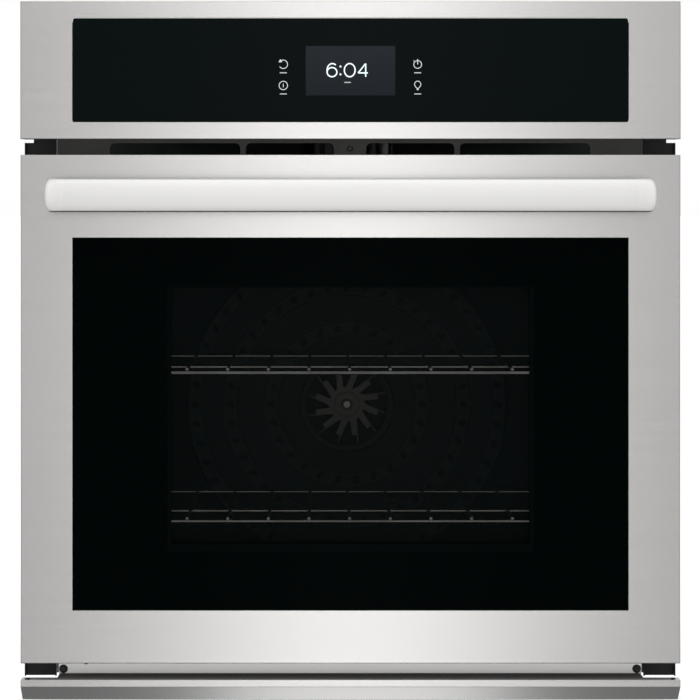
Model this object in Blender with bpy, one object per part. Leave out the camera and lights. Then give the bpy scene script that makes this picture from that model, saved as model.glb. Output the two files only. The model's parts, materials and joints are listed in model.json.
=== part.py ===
"""A 27-inch built-in electric wall oven with one cavity, a drop-down glass door and two racks.

Frame: +Z up, the front faces -Y and +X is to the right of someone facing it. y = 0 is the face of
the cabinet, where the side trims bear on it, and z = 0 is the shelf that the chassis stands on.
"""

import math

import bmesh
import bpy
from mathutils import Matrix, Vector

# ---- Driving dimensions, in metres ----

SHEET = 0.0012
GAP = 0.0003

# Chassis: a sheet-metal box behind the cabinet face
CHASSIS_HALF_W = 0.3085
CHASSIS_H = 0.6850
CHASSIS_BACK = 0.5650
FRAME_FACE = -0.0080
PANEL_SHEET = 0.0010
PAN_FLANGE = 0.0200
COVER_FLANGE = 0.0160
LOUVRE = 0.0050
TOP_LOUVRES = ((-0.21, -0.18, -0.15, 0.15, 0.18, 0.21), (0.42, 0.50))
SIDE_LOUVRES = ((0.40, 0.42, 0.44, 0.46), (0.575, 0.625))
BACK_LOUVRES = (
    ((-0.06, 0.06), (0.15, 0.17, 0.34, 0.36)),
    ((-0.16, -0.06), (0.60, 0.62, 0.64)),
)

# Oven cavity, inside faces
CAVITY_HALF_W = 0.2660
CAVITY_Z = (0.0550, 0.4900)
CAVITY_BACK = 0.4900
CAVITY_FRONT = -0.0064
MOUTH_MARGIN = 0.0020
RACK_LEVELS = 6
RACK_FIRST_Z = 0.1012
RACK_PITCH = 0.0531
RIB_DEPTH = 0.0080

# Racks
RACK_HALF_W = 0.2625
RACK_Y = (0.0450, 0.4350)
RACK_WIRE_PITCH = 0.0434
RACK_WIRE = 0.0036
RACK_RAIL = 0.0050
RACK_USED_LEVELS = {"rack_lower": 1, "rack_upper": 4}

# Fan at the back wall
FAN_Z = 0.2555
FAN_COVER_Y = 0.4480
FAN_COVER_R = 0.1890
FAN_MOUTH_R = 0.0470
FAN_R = 0.0620
FAN_BLADES = 12
SHAFT_R = 0.0040
NUT_R = 0.0064

# Lamp, temperature probe and heating elements in the cavity
LAMP = (-0.2000, 0.4345)
PROBE = (0.1300, 0.4520)
BROIL_Z = 0.4700
BROIL_TERMINALS_X = (-0.0300, 0.0300)
BAKE_Z = 0.0450
HEATER_R = 0.0033
HEATER_PITCH = 0.0700

# Door: front plane, rear plane and outline
DOOR_Y = (-0.0590, -0.0140)
DOOR_HALF_W = 0.3427
DOOR_Z = (0.0167, 0.5451)
DOOR_PIVOT = Vector((0.0, -0.0370, 0.0307))
DOOR_OPENING_HALF_W = 0.2888
DOOR_OPENING_Z = (0.0718, 0.4590)
WINDOW_HALF_W = 0.1880
WINDOW_Z = (0.1390, 0.4090)
GLASS = 0.0040
VENT_CAP_X = [0.052 * i - 0.018 for i in range(-5, 6)]

# Handle: a bowed bar whose ends turn in to the door
HANDLE_HALF_W = 0.3165
HANDLE_Z = 0.5026
HANDLE_HEIGHT = 0.0330
HANDLE_THICK = 0.0140
HANDLE_BEND_R = 0.0150
HANDLE_END_RUN = 0.0155
HANDLE_BOW = 0.0140

# Door hinges, one each side, working in pockets of the door
HINGE_X = 0.2870
HINGE_ARM_THICK = 0.0050
HINGE_POCKET_HALF_W = 0.0080
HINGE_PIN_R = 0.0040
LOCK_PIVOT = Vector((HINGE_X, -0.0260, 0.0360))
ROD_Y = -0.0360
ROD_R = 0.0024
ROD_Z = (0.0570, 0.1530)
SPRING_Z = (0.0748, 0.1497)

# Control panel
PANEL_HALF_W = 0.3429
PANEL_Z = (0.5615, 0.7048)
PANEL_GLASS_HALF_W = 0.2889
PANEL_GLASS_Z = (0.5791, 0.6876)
DISPLAY_HALF_W = 0.0463
DISPLAY_Z = (0.6070, 0.6580)

# Vent plate between the panel and the door
VENT_Z = (0.5243, 0.5790)
VENT_SLOTS_X = ((0.0171, 0.1096), (0.1157, 0.2527))
VENT_SLOTS_Z = (0.5335, 0.5577)

# Cooling blower on top of the insulation
BLOWER = Vector((0.0, 0.3300, 0.5320))
BLOWER_R = 0.0900
BLOWER_H = 0.0560
BLOWER_WHEEL_R = 0.0620

# Door latch over the mouth
LATCH_PIVOT = Vector((0.0, 0.0350, 0.5080))
LATCH_SLOT_X = (-0.0100, 0.0240)
LATCH_SLOT_Z = (0.5045, 0.5145)

# Trims round the front
TRIM_X = (0.3090, 0.3425)
TRIM_DEPTH = 0.0085
TRIM_TOP = 0.5582
TRIM_Z = (-0.0030, 0.6800)
TRIM_OUTER_X = (0.3335, 0.3500)
TRIM_HOLES = (0.3258, (0.060, 0.480), 0.0025)
SILL_FRONT = -0.0582
SILL_LEDGE_Z = -0.0005
SILL_SHEET = 0.0010
SILL_NOTCH = (0.3060, -0.0380)
STRIP_Z = (0.0003, 0.0163)

# Mains conduit clamp in the back panel
CONDUIT = (0.2200, 0.6200)

# Colour, roughness and metallic value of each finish
FINISHES = {
    "brushed_steel": ((0.62, 0.61, 0.60), 0.30, 1.0),
    "chrome_wire": ((0.70, 0.70, 0.70), 0.15, 1.0),
    "zinc_steel": ((0.50, 0.50, 0.49), 0.45, 1.0),
    "black_paint": ((0.02, 0.02, 0.02), 0.55, 0.0),
    "enamel": ((0.016, 0.018, 0.020), 0.25, 0.0),
    "black_glass": ((0.004, 0.007, 0.006), 0.05, 0.0),
    "clear_glass": ((0.60, 0.62, 0.60), 0.03, 0.0),
    "heater": ((0.09, 0.09, 0.09), 0.60, 0.5),
    "wool": ((0.72, 0.68, 0.55), 0.95, 0.0),
    "braid": ((0.35, 0.35, 0.34), 0.85, 0.0),
    "ceramic": ((0.80, 0.78, 0.72), 0.40, 0.0),
    "circuit": ((0.02, 0.12, 0.06), 0.45, 0.0),
    "black_plastic": ((0.03, 0.03, 0.03), 0.45, 0.0),
    "screen": ((0.022, 0.026, 0.029), 0.10, 0.0),
}

# Where (u, v) of an outline and w along the extrusion go for each axis
TO_WORLD = {
    "X": lambda u, v, w: (w, u, v),
    "Y": lambda u, v, w: (u, w, v),
    "Z": lambda u, v, w: (u, v, w),
}


# ---- Making objects ----


def clear_scene():
    for obj in list(bpy.data.objects):
        bpy.data.objects.remove(obj)


def paint(obj, finish):
    colour, roughness, metallic = FINISHES[finish]
    material = bpy.data.materials.new(obj.name)
    material.use_nodes = True
    shader = material.node_tree.nodes["Principled BSDF"]
    shader.inputs["Base Color"].default_value = (*colour, 1.0)
    shader.inputs["Roughness"].default_value = roughness
    shader.inputs["Metallic"].default_value = metallic
    obj.data.materials.append(material)


def joint_frame(name, location):
    """An empty on a joint's axis, which the pieces that move with the joint are parented to."""
    frame = bpy.data.objects.new(name, None)
    frame.location = location
    bpy.context.collection.objects.link(frame)
    bpy.context.view_layer.update()
    return frame


def add_object(name, bm, finish=None, frame=None):
    """Makes an object of a mesh drawn in world coordinates; with a frame, it hangs on that empty."""
    bmesh.ops.recalc_face_normals(bm, faces=bm.faces)
    if frame:
        bmesh.ops.translate(bm, verts=bm.verts, vec=-frame.matrix_world.translation)
    mesh = bpy.data.meshes.new(name)
    bm.to_mesh(mesh)
    bm.free()
    obj = bpy.data.objects.new(name, mesh)
    obj.parent = frame
    bpy.context.collection.objects.link(obj)
    if finish:
        paint(obj, finish)
    else:
        obj.hide_render = True
        obj.display_type = "WIRE"
    return obj


def smooth(obj):
    obj.data.shade_smooth()
    obj.data.set_sharp_from_angle(angle=math.radians(35))
    return obj


def add_loop(bm, outline, axis, w):
    return [bm.verts.new(TO_WORLD[axis](u, v, w)) for u, v in outline]


def bridge(bm, loop_a, loop_b):
    count = len(loop_a)
    for i in range(count):
        j = (i + 1) % count
        bm.faces.new((loop_a[i], loop_a[j], loop_b[j], loop_b[i]))


def add_prism(bm, outline, axis, low, high):
    ends = [add_loop(bm, outline, axis, w) for w in (low, high)]
    bridge(bm, *ends)
    for end in ends:
        bm.faces.new(end)


def prism(name, outline, axis, low, high, finish=None, frame=None):
    bm = bmesh.new()
    add_prism(bm, outline, axis, low, high)
    return add_object(name, bm, finish, frame)


def ring_prism(name, outer, inner, axis, low, high, finish, frame=None):
    """An extruded frame; the two outlines have the same number of points in the same order."""
    bm = bmesh.new()
    outside = [add_loop(bm, outer, axis, w) for w in (low, high)]
    inside = [add_loop(bm, inner, axis, w) for w in (low, high)]
    bridge(bm, *outside)
    bridge(bm, *inside)
    for end in (0, 1):
        bridge(bm, outside[end], inside[end])
    return add_object(name, bm, finish, frame)


def tray(name, outer, inner, rim_y, floor_y, wall, finish, frame=None):
    """A pan open at rim_y, whose floor's outer face is at floor_y."""
    inner_floor_y = floor_y - math.copysign(wall, floor_y - rim_y)
    bm = bmesh.new()
    rims = [add_loop(bm, outline, "Y", rim_y) for outline in (outer, inner)]
    floors = [
        add_loop(bm, outer, "Y", floor_y),
        add_loop(bm, inner, "Y", inner_floor_y),
    ]
    bridge(bm, *rims)
    for rim, floor in zip(rims, floors):
        bridge(bm, rim, floor)
        bm.faces.new(floor)
    return add_object(name, bm, finish, frame)


def box(name, low, high, finish=None, frame=None):
    outline = rectangle(low[0], high[0], low[2], high[2])
    return prism(name, outline, "Y", low[1], high[1], finish, frame)


def lathe(name, profile, centre, axis, finish=None, frame=None, steps=24):
    """Turns (radius, along) points about an axis; the ends are on the axis, or the profile closes."""
    bm = bmesh.new()
    verts = [bm.verts.new((radius, 0.0, along)) for radius, along in profile]
    pairs = list(zip(verts, verts[1:]))
    if profile[0][0] > 0.0:
        pairs.append((verts[-1], verts[0]))
    edges = [bm.edges.new(pair) for pair in pairs]
    bmesh.ops.spin(
        bm,
        geom=verts + edges,
        cent=(0.0, 0.0, 0.0),
        axis=(0.0, 0.0, 1.0),
        angle=2.0 * math.pi,
        steps=steps,
        use_merge=True,
    )
    bmesh.ops.remove_doubles(bm, verts=bm.verts, dist=1e-6)
    turn = {
        "Z": Matrix(),
        "Y": Matrix.Rotation(math.radians(-90), 4, "X"),
        "X": Matrix.Rotation(math.radians(90), 4, "Y"),
    }[axis]
    bm.transform(Matrix.Translation(centre) @ turn)
    return smooth(add_object(name, bm, finish, frame))


def tube(name, points, radius, finish):
    """A bent rod with closed ends along the points."""
    curve = bpy.data.curves.new(name, "CURVE")
    curve.dimensions = "3D"
    curve.bevel_depth = radius
    curve.bevel_resolution = 1
    curve.use_fill_caps = True
    spline = curve.splines.new("POLY")
    spline.points.add(len(points) - 1)
    for point, place in zip(spline.points, points):
        point.co = (*place, 1.0)
    obj = bpy.data.objects.new(name, curve)
    bpy.context.collection.objects.link(obj)
    paint(obj, finish)
    return obj


def boolean(target, other, operation):
    modifier = target.modifiers.new(f"{operation.lower()} {other.name}", "BOOLEAN")
    modifier.operation = operation
    modifier.object = other


def cut_outlines(target, outlines, axis, low, high):
    """Cuts a hole of each outline through the target."""
    bm = bmesh.new()
    for outline in outlines:
        add_prism(bm, outline, axis, low, high)
    count = len(target.modifiers)
    boolean(target, add_object(f"cut_{target.name}_{count}", bm), "DIFFERENCE")


def join_shape(target, shape):
    """Unites a helper shape with the target, so that the two are one solid."""
    shape.hide_render = True
    shape.display_type = "WIRE"
    boolean(target, shape, "UNION")


# ---- Outlines ----


def rectangle(u0, u1, v0, v1):
    return [(u0, v0), (u1, v0), (u1, v1), (u0, v1)]


def circle(u, v, radius, steps=20):
    turns = [2.0 * math.pi * i / steps for i in range(steps)]
    return [(u + radius * math.cos(a), v + radius * math.sin(a)) for a in turns]


def rounded_rectangle(u0, u1, v0, v1, radius, steps=3):
    corners = (
        (u1 - radius, v0 + radius, -90),
        (u1 - radius, v1 - radius, 0),
        (u0 + radius, v1 - radius, 90),
        (u0 + radius, v0 + radius, 180),
    )
    outline = []
    for u, v, start in corners:
        for i in range(steps + 1):
            angle = math.radians(start + 90.0 * i / steps)
            outline.append((u + radius * math.cos(angle), v + radius * math.sin(angle)))
    return outline


def mirrored(outline):
    return [(-u, v) for u, v in outline]


def folded_sheet(path, thickness=SHEET):
    """The outline of a sheet bent along path, with its thickness to the left of the path."""
    points = [Vector(p) for p in path]
    normals = []
    for start, end in zip(points, points[1:]):
        along = (end - start).normalized()
        normals.append(Vector((-along.y, along.x)))
    other_side = []
    for i, point in enumerate(points):
        before = normals[max(i - 1, 0)]
        after = normals[min(i, len(normals) - 1)]
        mitre = (before + after).normalized()
        other_side.append(point + mitre * (thickness / mitre.dot(after)))
    return [tuple(p) for p in points + other_side[::-1]]


def star(blades, root_r, tip_r, sweep, blade_share, steps=4):
    """The outline of a hub with swept blades, about (0, 0)."""
    pitch = 2.0 * math.pi / blades
    outline = []
    for k in range(blades):
        lead = [
            (root_r + (tip_r - root_r) * i / steps, k * pitch + sweep * (i / steps) ** 1.5)
            for i in range(steps + 1)
        ]
        trail = [(r, a + pitch * blade_share * (1.3 - 0.6 * r / tip_r)) for r, a in lead]
        outline += lead + trail[::-1]
    return [(r * math.cos(a), r * math.sin(a)) for r, a in outline]


# ---- Chassis ----


def make_chassis():
    inner_w = CHASSIS_HALF_W - 0.0015
    pan_y = (-0.0048, CHASSIS_BACK - 0.0028)
    base = folded_sheet(
        [(-inner_w, PAN_FLANGE), (-inner_w, 0.0), (inner_w, 0.0), (inner_w, PAN_FLANGE)]
    )
    prism("base_pan", base, "Y", *pan_y, "zinc_steel")

    top_z = CHASSIS_H - PANEL_SHEET
    top = folded_sheet(
        [
            (inner_w - SHEET, top_z - COVER_FLANGE),
            (inner_w - SHEET, top_z),
            (-inner_w + SHEET, top_z),
            (-inner_w + SHEET, top_z - COVER_FLANGE),
        ],
        -PANEL_SHEET,
    )
    cover = prism("top_cover", top, "Y", *pan_y, "zinc_steel")
    louvres = [rectangle(x - LOUVRE / 2, x + LOUVRE / 2, *TOP_LOUVRES[1]) for x in TOP_LOUVRES[0]]
    cut_outlines(cover, louvres, "Z", top_z - 0.01, top_z + 0.01)

    wall = CHASSIS_HALF_W - PANEL_SHEET
    panel = folded_sheet(
        [
            (wall - 0.0075, CHASSIS_BACK - 0.0025),
            (wall, CHASSIS_BACK - 0.0025),
            (wall, -0.0053),
            (wall - 0.0075, -0.0053),
        ],
        PANEL_SHEET,
    )
    for side, outline in (("right", panel), ("left", mirrored(panel))):
        sheet = prism(f"side_panel_{side}", outline, "Z", 0.0005, CHASSIS_H - 0.0015, "zinc_steel")
        vents = [rectangle(y, y + LOUVRE, *SIDE_LOUVRES[1]) for y in SIDE_LOUVRES[0]]
        low = wall - 0.01 if side == "right" else -wall - 0.01
        cut_outlines(sheet, vents, "X", low, low + 0.02)

    back = box(
        "back_panel",
        (-CHASSIS_HALF_W, CHASSIS_BACK - PANEL_SHEET, 0.0018),
        (CHASSIS_HALF_W, CHASSIS_BACK, CHASSIS_H - 0.0015),
        "zinc_steel",
    )
    holes = [circle(*CONDUIT, 0.0110)]
    for span, heights in BACK_LOUVRES:
        holes += [rectangle(*span, z, z + LOUVRE) for z in heights]
    cut_outlines(back, holes, "Y", CHASSIS_BACK - 0.01, CHASSIS_BACK + 0.01)


def make_front_frame():
    mouth_w = CAVITY_HALF_W + MOUTH_MARGIN
    frame = box(
        "front_frame",
        (-CHASSIS_HALF_W + 0.0015, FRAME_FACE, 0.0018),
        (CHASSIS_HALF_W - 0.0015, FRAME_FACE + SHEET, VENT_Z[0] - GAP),
        "enamel",
    )
    mouth_z = (CAVITY_Z[0] - 0.0005, CAVITY_Z[1] + MOUTH_MARGIN)
    holes = [
        rounded_rectangle(-mouth_w, mouth_w, *mouth_z, 0.012),
        rectangle(*LATCH_SLOT_X, *LATCH_SLOT_Z),
    ]
    for x in (-HINGE_X, HINGE_X):
        holes.append(rectangle(x - 0.0065, x + 0.0065, 0.0160, 0.0445))
    cut_outlines(frame, holes, "Y", FRAME_FACE - 0.005, FRAME_FACE + 0.005)

    seal_w = mouth_w + 0.0022
    seal_z = (mouth_z[0] - 0.0022, mouth_z[1] + 0.0022)
    width = 0.0068
    ring_prism(
        "door_gasket",
        rounded_rectangle(
            -seal_w - width, seal_w + width, seal_z[0] - width, seal_z[1] + width, 0.021
        ),
        rounded_rectangle(-seal_w, seal_w, *seal_z, 0.0142),
        "Y",
        DOOR_Y[1] + GAP,
        FRAME_FACE - GAP,
        "braid",
    )

    vent = box(
        "vent_plate",
        (-CHASSIS_HALF_W + 0.0015, FRAME_FACE, VENT_Z[0]),
        (CHASSIS_HALF_W - 0.0015, FRAME_FACE + SHEET, VENT_Z[1]),
        "black_paint",
    )
    slots = []
    for low, high in VENT_SLOTS_X:
        slots.append(rounded_rectangle(low, high, *VENT_SLOTS_Z, 0.005))
        slots.append(rounded_rectangle(-high, -low, *VENT_SLOTS_Z, 0.005))
    cut_outlines(vent, slots, "Y", FRAME_FACE - 0.005, FRAME_FACE + 0.005)


# ---- Oven cavity ----


def cavity_outline(grow):
    """The cavity's section with its rack ribs pressed in; grow moves it out by the sheet's thickness."""
    half, (floor, roof), radius = CAVITY_HALF_W + grow, CAVITY_Z, 0.012
    right = []
    for level in range(RACK_LEVELS):
        shelf = RACK_FIRST_Z + RACK_PITCH * level - RACK_RAIL / 2 - GAP
        right += [
            (half, shelf - 0.0110),
            (half - RIB_DEPTH, shelf - 0.0080),
            (half - RIB_DEPTH, shelf - grow),
            (half, shelf - grow),
        ]
    corners = rounded_rectangle(-half, half, floor - grow, roof + grow, radius + grow)
    quarter = len(corners) // 4
    left = [(-x, z) for x, z in reversed(right)]
    return corners[:quarter] + right + corners[quarter : 3 * quarter] + left + corners[3 * quarter :]


def make_cavity():
    back_y = CAVITY_BACK + SHEET
    liner = tray(
        "oven_liner",
        cavity_outline(SHEET),
        cavity_outline(0.0),
        CAVITY_FRONT,
        back_y,
        SHEET,
        "enamel",
    )
    holes = [circle(0.0, FAN_Z, 0.0100), circle(*LAMP, 0.0270), circle(*PROBE, 0.0045)]
    holes += [circle(x, BROIL_Z, 0.0045, 12) for x in BROIL_TERMINALS_X]
    cut_outlines(liner, holes, "Y", CAVITY_BACK - 0.01, back_y + 0.01)

    cover = lathe(
        "fan_cover",
        [
            (FAN_MOUTH_R, FAN_COVER_Y),
            (0.0560, FAN_COVER_Y),
            (0.0580, FAN_COVER_Y + 0.0015),
            (0.1870, FAN_COVER_Y + 0.0015),
            (FAN_COVER_R, FAN_COVER_Y + 0.0045),
            (FAN_COVER_R, CAVITY_BACK - GAP),
            (FAN_COVER_R - 0.0010, CAVITY_BACK - GAP),
            (FAN_COVER_R - 0.0010, FAN_COVER_Y + 0.0050),
            (0.1864, FAN_COVER_Y + 0.0025),
            (0.0576, FAN_COVER_Y + 0.0025),
            (0.0556, FAN_COVER_Y + 0.0010),
            (FAN_MOUTH_R, FAN_COVER_Y + 0.0010),
        ],
        (0.0, 0.0, FAN_Z),
        "Y",
        "enamel",
        steps=36,
    )
    slots = []
    for k in range(12):
        turn = Matrix.Rotation(math.radians(30 * k), 2)
        corners = [(0.066, 0.000), (0.070, -0.003), (0.088, 0.014), (0.085, 0.018)]
        rotated = [turn @ Vector(corner) for corner in corners]
        slots.append([(p.x, p.y + FAN_Z) for p in rotated])
    cut_outlines(cover, slots, "Y", FAN_COVER_Y - 0.01, FAN_COVER_Y + 0.01)


def make_racks():
    """Each rack is a grating on its own slide, a little over the rib that carries it."""
    wires = [RACK_WIRE_PITCH * i for i in range(-5, 6)]
    side = RACK_HALF_W - RACK_RAIL / 2
    bars_x = [(x - RACK_WIRE / 2, x + RACK_WIRE / 2) for x in wires]
    bars_x = [(-RACK_HALF_W, -side + RACK_RAIL / 2)] + bars_x + [(side - RACK_RAIL / 2, RACK_HALF_W)]
    front, rear = RACK_Y
    bars_y = [(front, front + RACK_RAIL)]
    bars_y += [(y, y + RACK_RAIL) for y in (front + 0.060, (front + rear) / 2, rear - RACK_RAIL)]
    for name, level in RACK_USED_LEVELS.items():
        z = RACK_FIRST_Z + RACK_PITCH * level
        frame = joint_frame(f"{name}_slide", (0.0, front, z))
        bm = bmesh.new()
        add_grating(bm, bars_x, bars_y, z - RACK_RAIL / 2, z + RACK_RAIL / 2)
        add_object(name, bm, "chrome_wire", frame)


def add_grating(bm, bars_x, bars_y, low, high):
    """A flat grid of crossing bars as one closed body, built cell by cell."""
    xs = sorted(edge for bar in bars_x for edge in bar)
    ys = sorted(edge for bar in bars_y for edge in bar)
    grid = [
        [[bm.verts.new((x, y, z)) for y in ys] for x in xs]
        for z in (low, high)
    ]

    def solid(i, j):
        if not (0 <= i < len(xs) - 1 and 0 <= j < len(ys) - 1):
            return False
        return i % 2 == 0 or j % 2 == 0

    for i in range(len(xs) - 1):
        for j in range(len(ys) - 1):
            if not solid(i, j):
                continue
            corners = [(i, j), (i + 1, j), (i + 1, j + 1), (i, j + 1)]
            for layer in grid:
                bm.faces.new([layer[a][b] for a, b in corners])
            neighbours = [(i, j - 1), (i + 1, j), (i, j + 1), (i - 1, j)]
            for k, neighbour in enumerate(neighbours):
                if solid(*neighbour):
                    continue
                (a, b), (c, d) = corners[k], corners[(k + 1) % 4]
                bm.faces.new((grid[0][a][b], grid[0][c][d], grid[1][c][d], grid[1][a][b]))


# Fittings of the back wall, as (x, z)


def serpentine(z, runs_x, near_y, far_y, end_y):
    """The route of a heater: out of one terminal, to and fro along Y, and back to the other."""
    outer_y = far_y + 0.030
    route = [(BROIL_TERMINALS_X[0], end_y), (BROIL_TERMINALS_X[0], outer_y)]
    here, there = outer_y, near_y
    for x in runs_x:
        route += [(x, here), (x, there)]
        here, there = there, far_y if there == near_y else near_y
    route[-1] = (runs_x[-1], outer_y)
    route += [(BROIL_TERMINALS_X[1], outer_y), (BROIL_TERMINALS_X[1], end_y)]
    return [(x, y, z) for x, y in rounded_route(route, 0.014)]


def rounded_route(points, radius, steps=3):
    """The points with each corner turned into a short arc."""
    route = [points[0]]
    for before, corner, after in zip(points, points[1:], points[2:]):
        here = Vector(corner)
        start = (Vector(before) - here).normalized()
        end = (Vector(after) - here).normalized()
        for i in range(steps + 1):
            t = i / steps
            bend = here + radius * (start * (1 - t) ** 2 + end * t**2)
            route.append((bend.x, bend.y))
    route.append(points[-1])
    return route


def make_heaters():
    runs_x = [HEATER_PITCH * (i - 2.5) for i in range(6)]
    broil = serpentine(BROIL_Z, runs_x, 0.09, 0.40, CAVITY_BACK + 0.040)
    tube("broil_element", broil, HEATER_R, "heater")
    bake = serpentine(BAKE_Z, runs_x, 0.08, 0.38, 0.480)
    tube("bake_element", bake, HEATER_R, "heater")


def make_lamp_and_probe():
    x, z = LAMP
    wall = CAVITY_BACK
    lathe(
        "lamp_lens",
        [
            (0.0, wall - 0.0290),
            (0.0150, wall - 0.0280),
            (0.0235, wall - 0.0215),
            (0.0255, wall - 0.0040),
            (0.0320, wall - 0.0035),
            (0.0320, wall - GAP),
            (0.0230, wall - GAP),
            (0.0215, wall - 0.0200),
            (0.0140, wall - 0.0260),
            (0.0, wall - 0.0270),
        ],
        (x, 0.0, z),
        "Y",
        "clear_glass",
    )
    lathe(
        "lamp_bulb",
        [
            (0.0, wall - 0.0230),
            (0.0065, wall - 0.0205),
            (0.0095, wall - 0.0130),
            (0.0080, wall - 0.0020),
            (0.0060, wall + 0.0040),
            (0.0, wall + 0.0040),
        ],
        (x, 0.0, z),
        "Y",
        "clear_glass",
        steps=16,
    )
    lathe(
        "lamp_socket",
        [
            (0.0, wall + 0.0160),
            (0.0090, wall + 0.0160),
            (0.0090, wall + 0.0043),
            (0.0170, wall + 0.0043),
            (0.0170, wall + 0.0020),
            (0.0300, wall + 0.0020),
            (0.0300, wall + 0.0040),
            (0.0190, wall + 0.0060),
            (0.0190, wall + 0.0340),
            (0.0, wall + 0.0340),
        ],
        (x, 0.0, z),
        "Y",
        "ceramic",
        steps=20,
    )
    x, z = PROBE
    lathe(
        "temperature_probe",
        [
            (0.0, wall - 0.0950),
            (0.0032, wall - 0.0930),
            (0.0032, wall - 0.0020),
            (0.0110, wall - 0.0020),
            (0.0110, wall - GAP),
            (0.0032, wall - GAP),
            (0.0032, wall + 0.0300),
            (0.0, wall + 0.0300),
        ],
        (x, 0.0, z),
        "Y",
        "zinc_steel",
        steps=12,
    )


def make_fan():
    centre = Vector((0.0, 0.0, FAN_Z))
    frame = joint_frame("convection_fan_axis", centre + Vector((0.0, 0.4680, 0.0)))
    blades = [(x, z + FAN_Z) for x, z in star(FAN_BLADES, 0.0140, FAN_R, 0.55, 0.42)]
    wheel = prism("fan_wheel", blades, "Y", 0.4570, 0.4780, "zinc_steel", frame)
    bore = SHAFT_R + GAP
    cut_outlines(wheel, [circle(0.0, FAN_Z, bore, 12)], "Y", 0.44, 0.49)
    lathe(
        "fan_shaft",
        [(0.0, 0.4510), (SHAFT_R, 0.4510), (SHAFT_R, 0.5450), (0.0, 0.5450)],
        centre,
        "Y",
        "zinc_steel",
        frame,
        steps=12,
    )
    nut = prism("fan_nut", circle(0.0, FAN_Z, NUT_R, 6), "Y", 0.4525, 0.4567, "zinc_steel", frame)
    cut_outlines(nut, [circle(0.0, FAN_Z, bore, 12)], "Y", 0.44, 0.47)

    motor = box("fan_motor", (-0.048, 0.5300, FAN_Z - 0.035), (0.048, 0.5320, FAN_Z + 0.035), "zinc_steel")
    join_shape(motor, box("stack_core", (-0.030, 0.5310, FAN_Z - 0.028), (0.030, 0.5560, FAN_Z + 0.028)))
    join_shape(motor, box("stack_coil", (-0.014, 0.5320, FAN_Z - 0.045), (0.014, 0.5540, FAN_Z - 0.015)))
    cut_outlines(motor, [circle(0.0, FAN_Z, bore, 12)], "Y", 0.52, 0.548)


# ---- Insulation ----


def make_insulation():
    low, notch_z, high = 0.0060, 0.0525, 0.5270
    outer = [
        (-0.272, low),
        (0.272, low),
        (0.272, notch_z - 0.0025),
        (0.300, notch_z - 0.0025),
        (0.300, high),
        (-0.300, high),
        (-0.300, notch_z - 0.0025),
        (-0.272, notch_z - 0.0025),
    ]
    inner = [
        (-0.262, 0.034),
        (0.262, 0.034),
        (0.262, notch_z),
        (0.2695, notch_z),
        (0.2695, 0.4925),
        (-0.2695, 0.4925),
        (-0.2695, notch_z),
        (-0.262, notch_z),
    ]
    wrap = ring_prism("insulation_wrap", outer, inner, "Y", 0.0120, 0.5280, "wool")
    cut_outlines(wrap, [rectangle(-0.050, 0.050, 0.000, 0.100)], "Z", 0.5000, 0.5400)

    pad = box("insulation_back", (-0.2690, 0.4917, 0.0600), (0.2690, 0.5280, 0.4910), "wool")
    holes = [
        circle(0.0, FAN_Z, 0.0120),
        circle(*LAMP, 0.0330),
        circle(*PROBE, 0.0060, 12),
        rectangle(-0.040, 0.040, BROIL_Z - 0.008, BROIL_Z + 0.008),
    ]
    cut_outlines(pad, holes, "Y", 0.48, 0.54)


# ---- Cooling air and electrics ----


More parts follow.
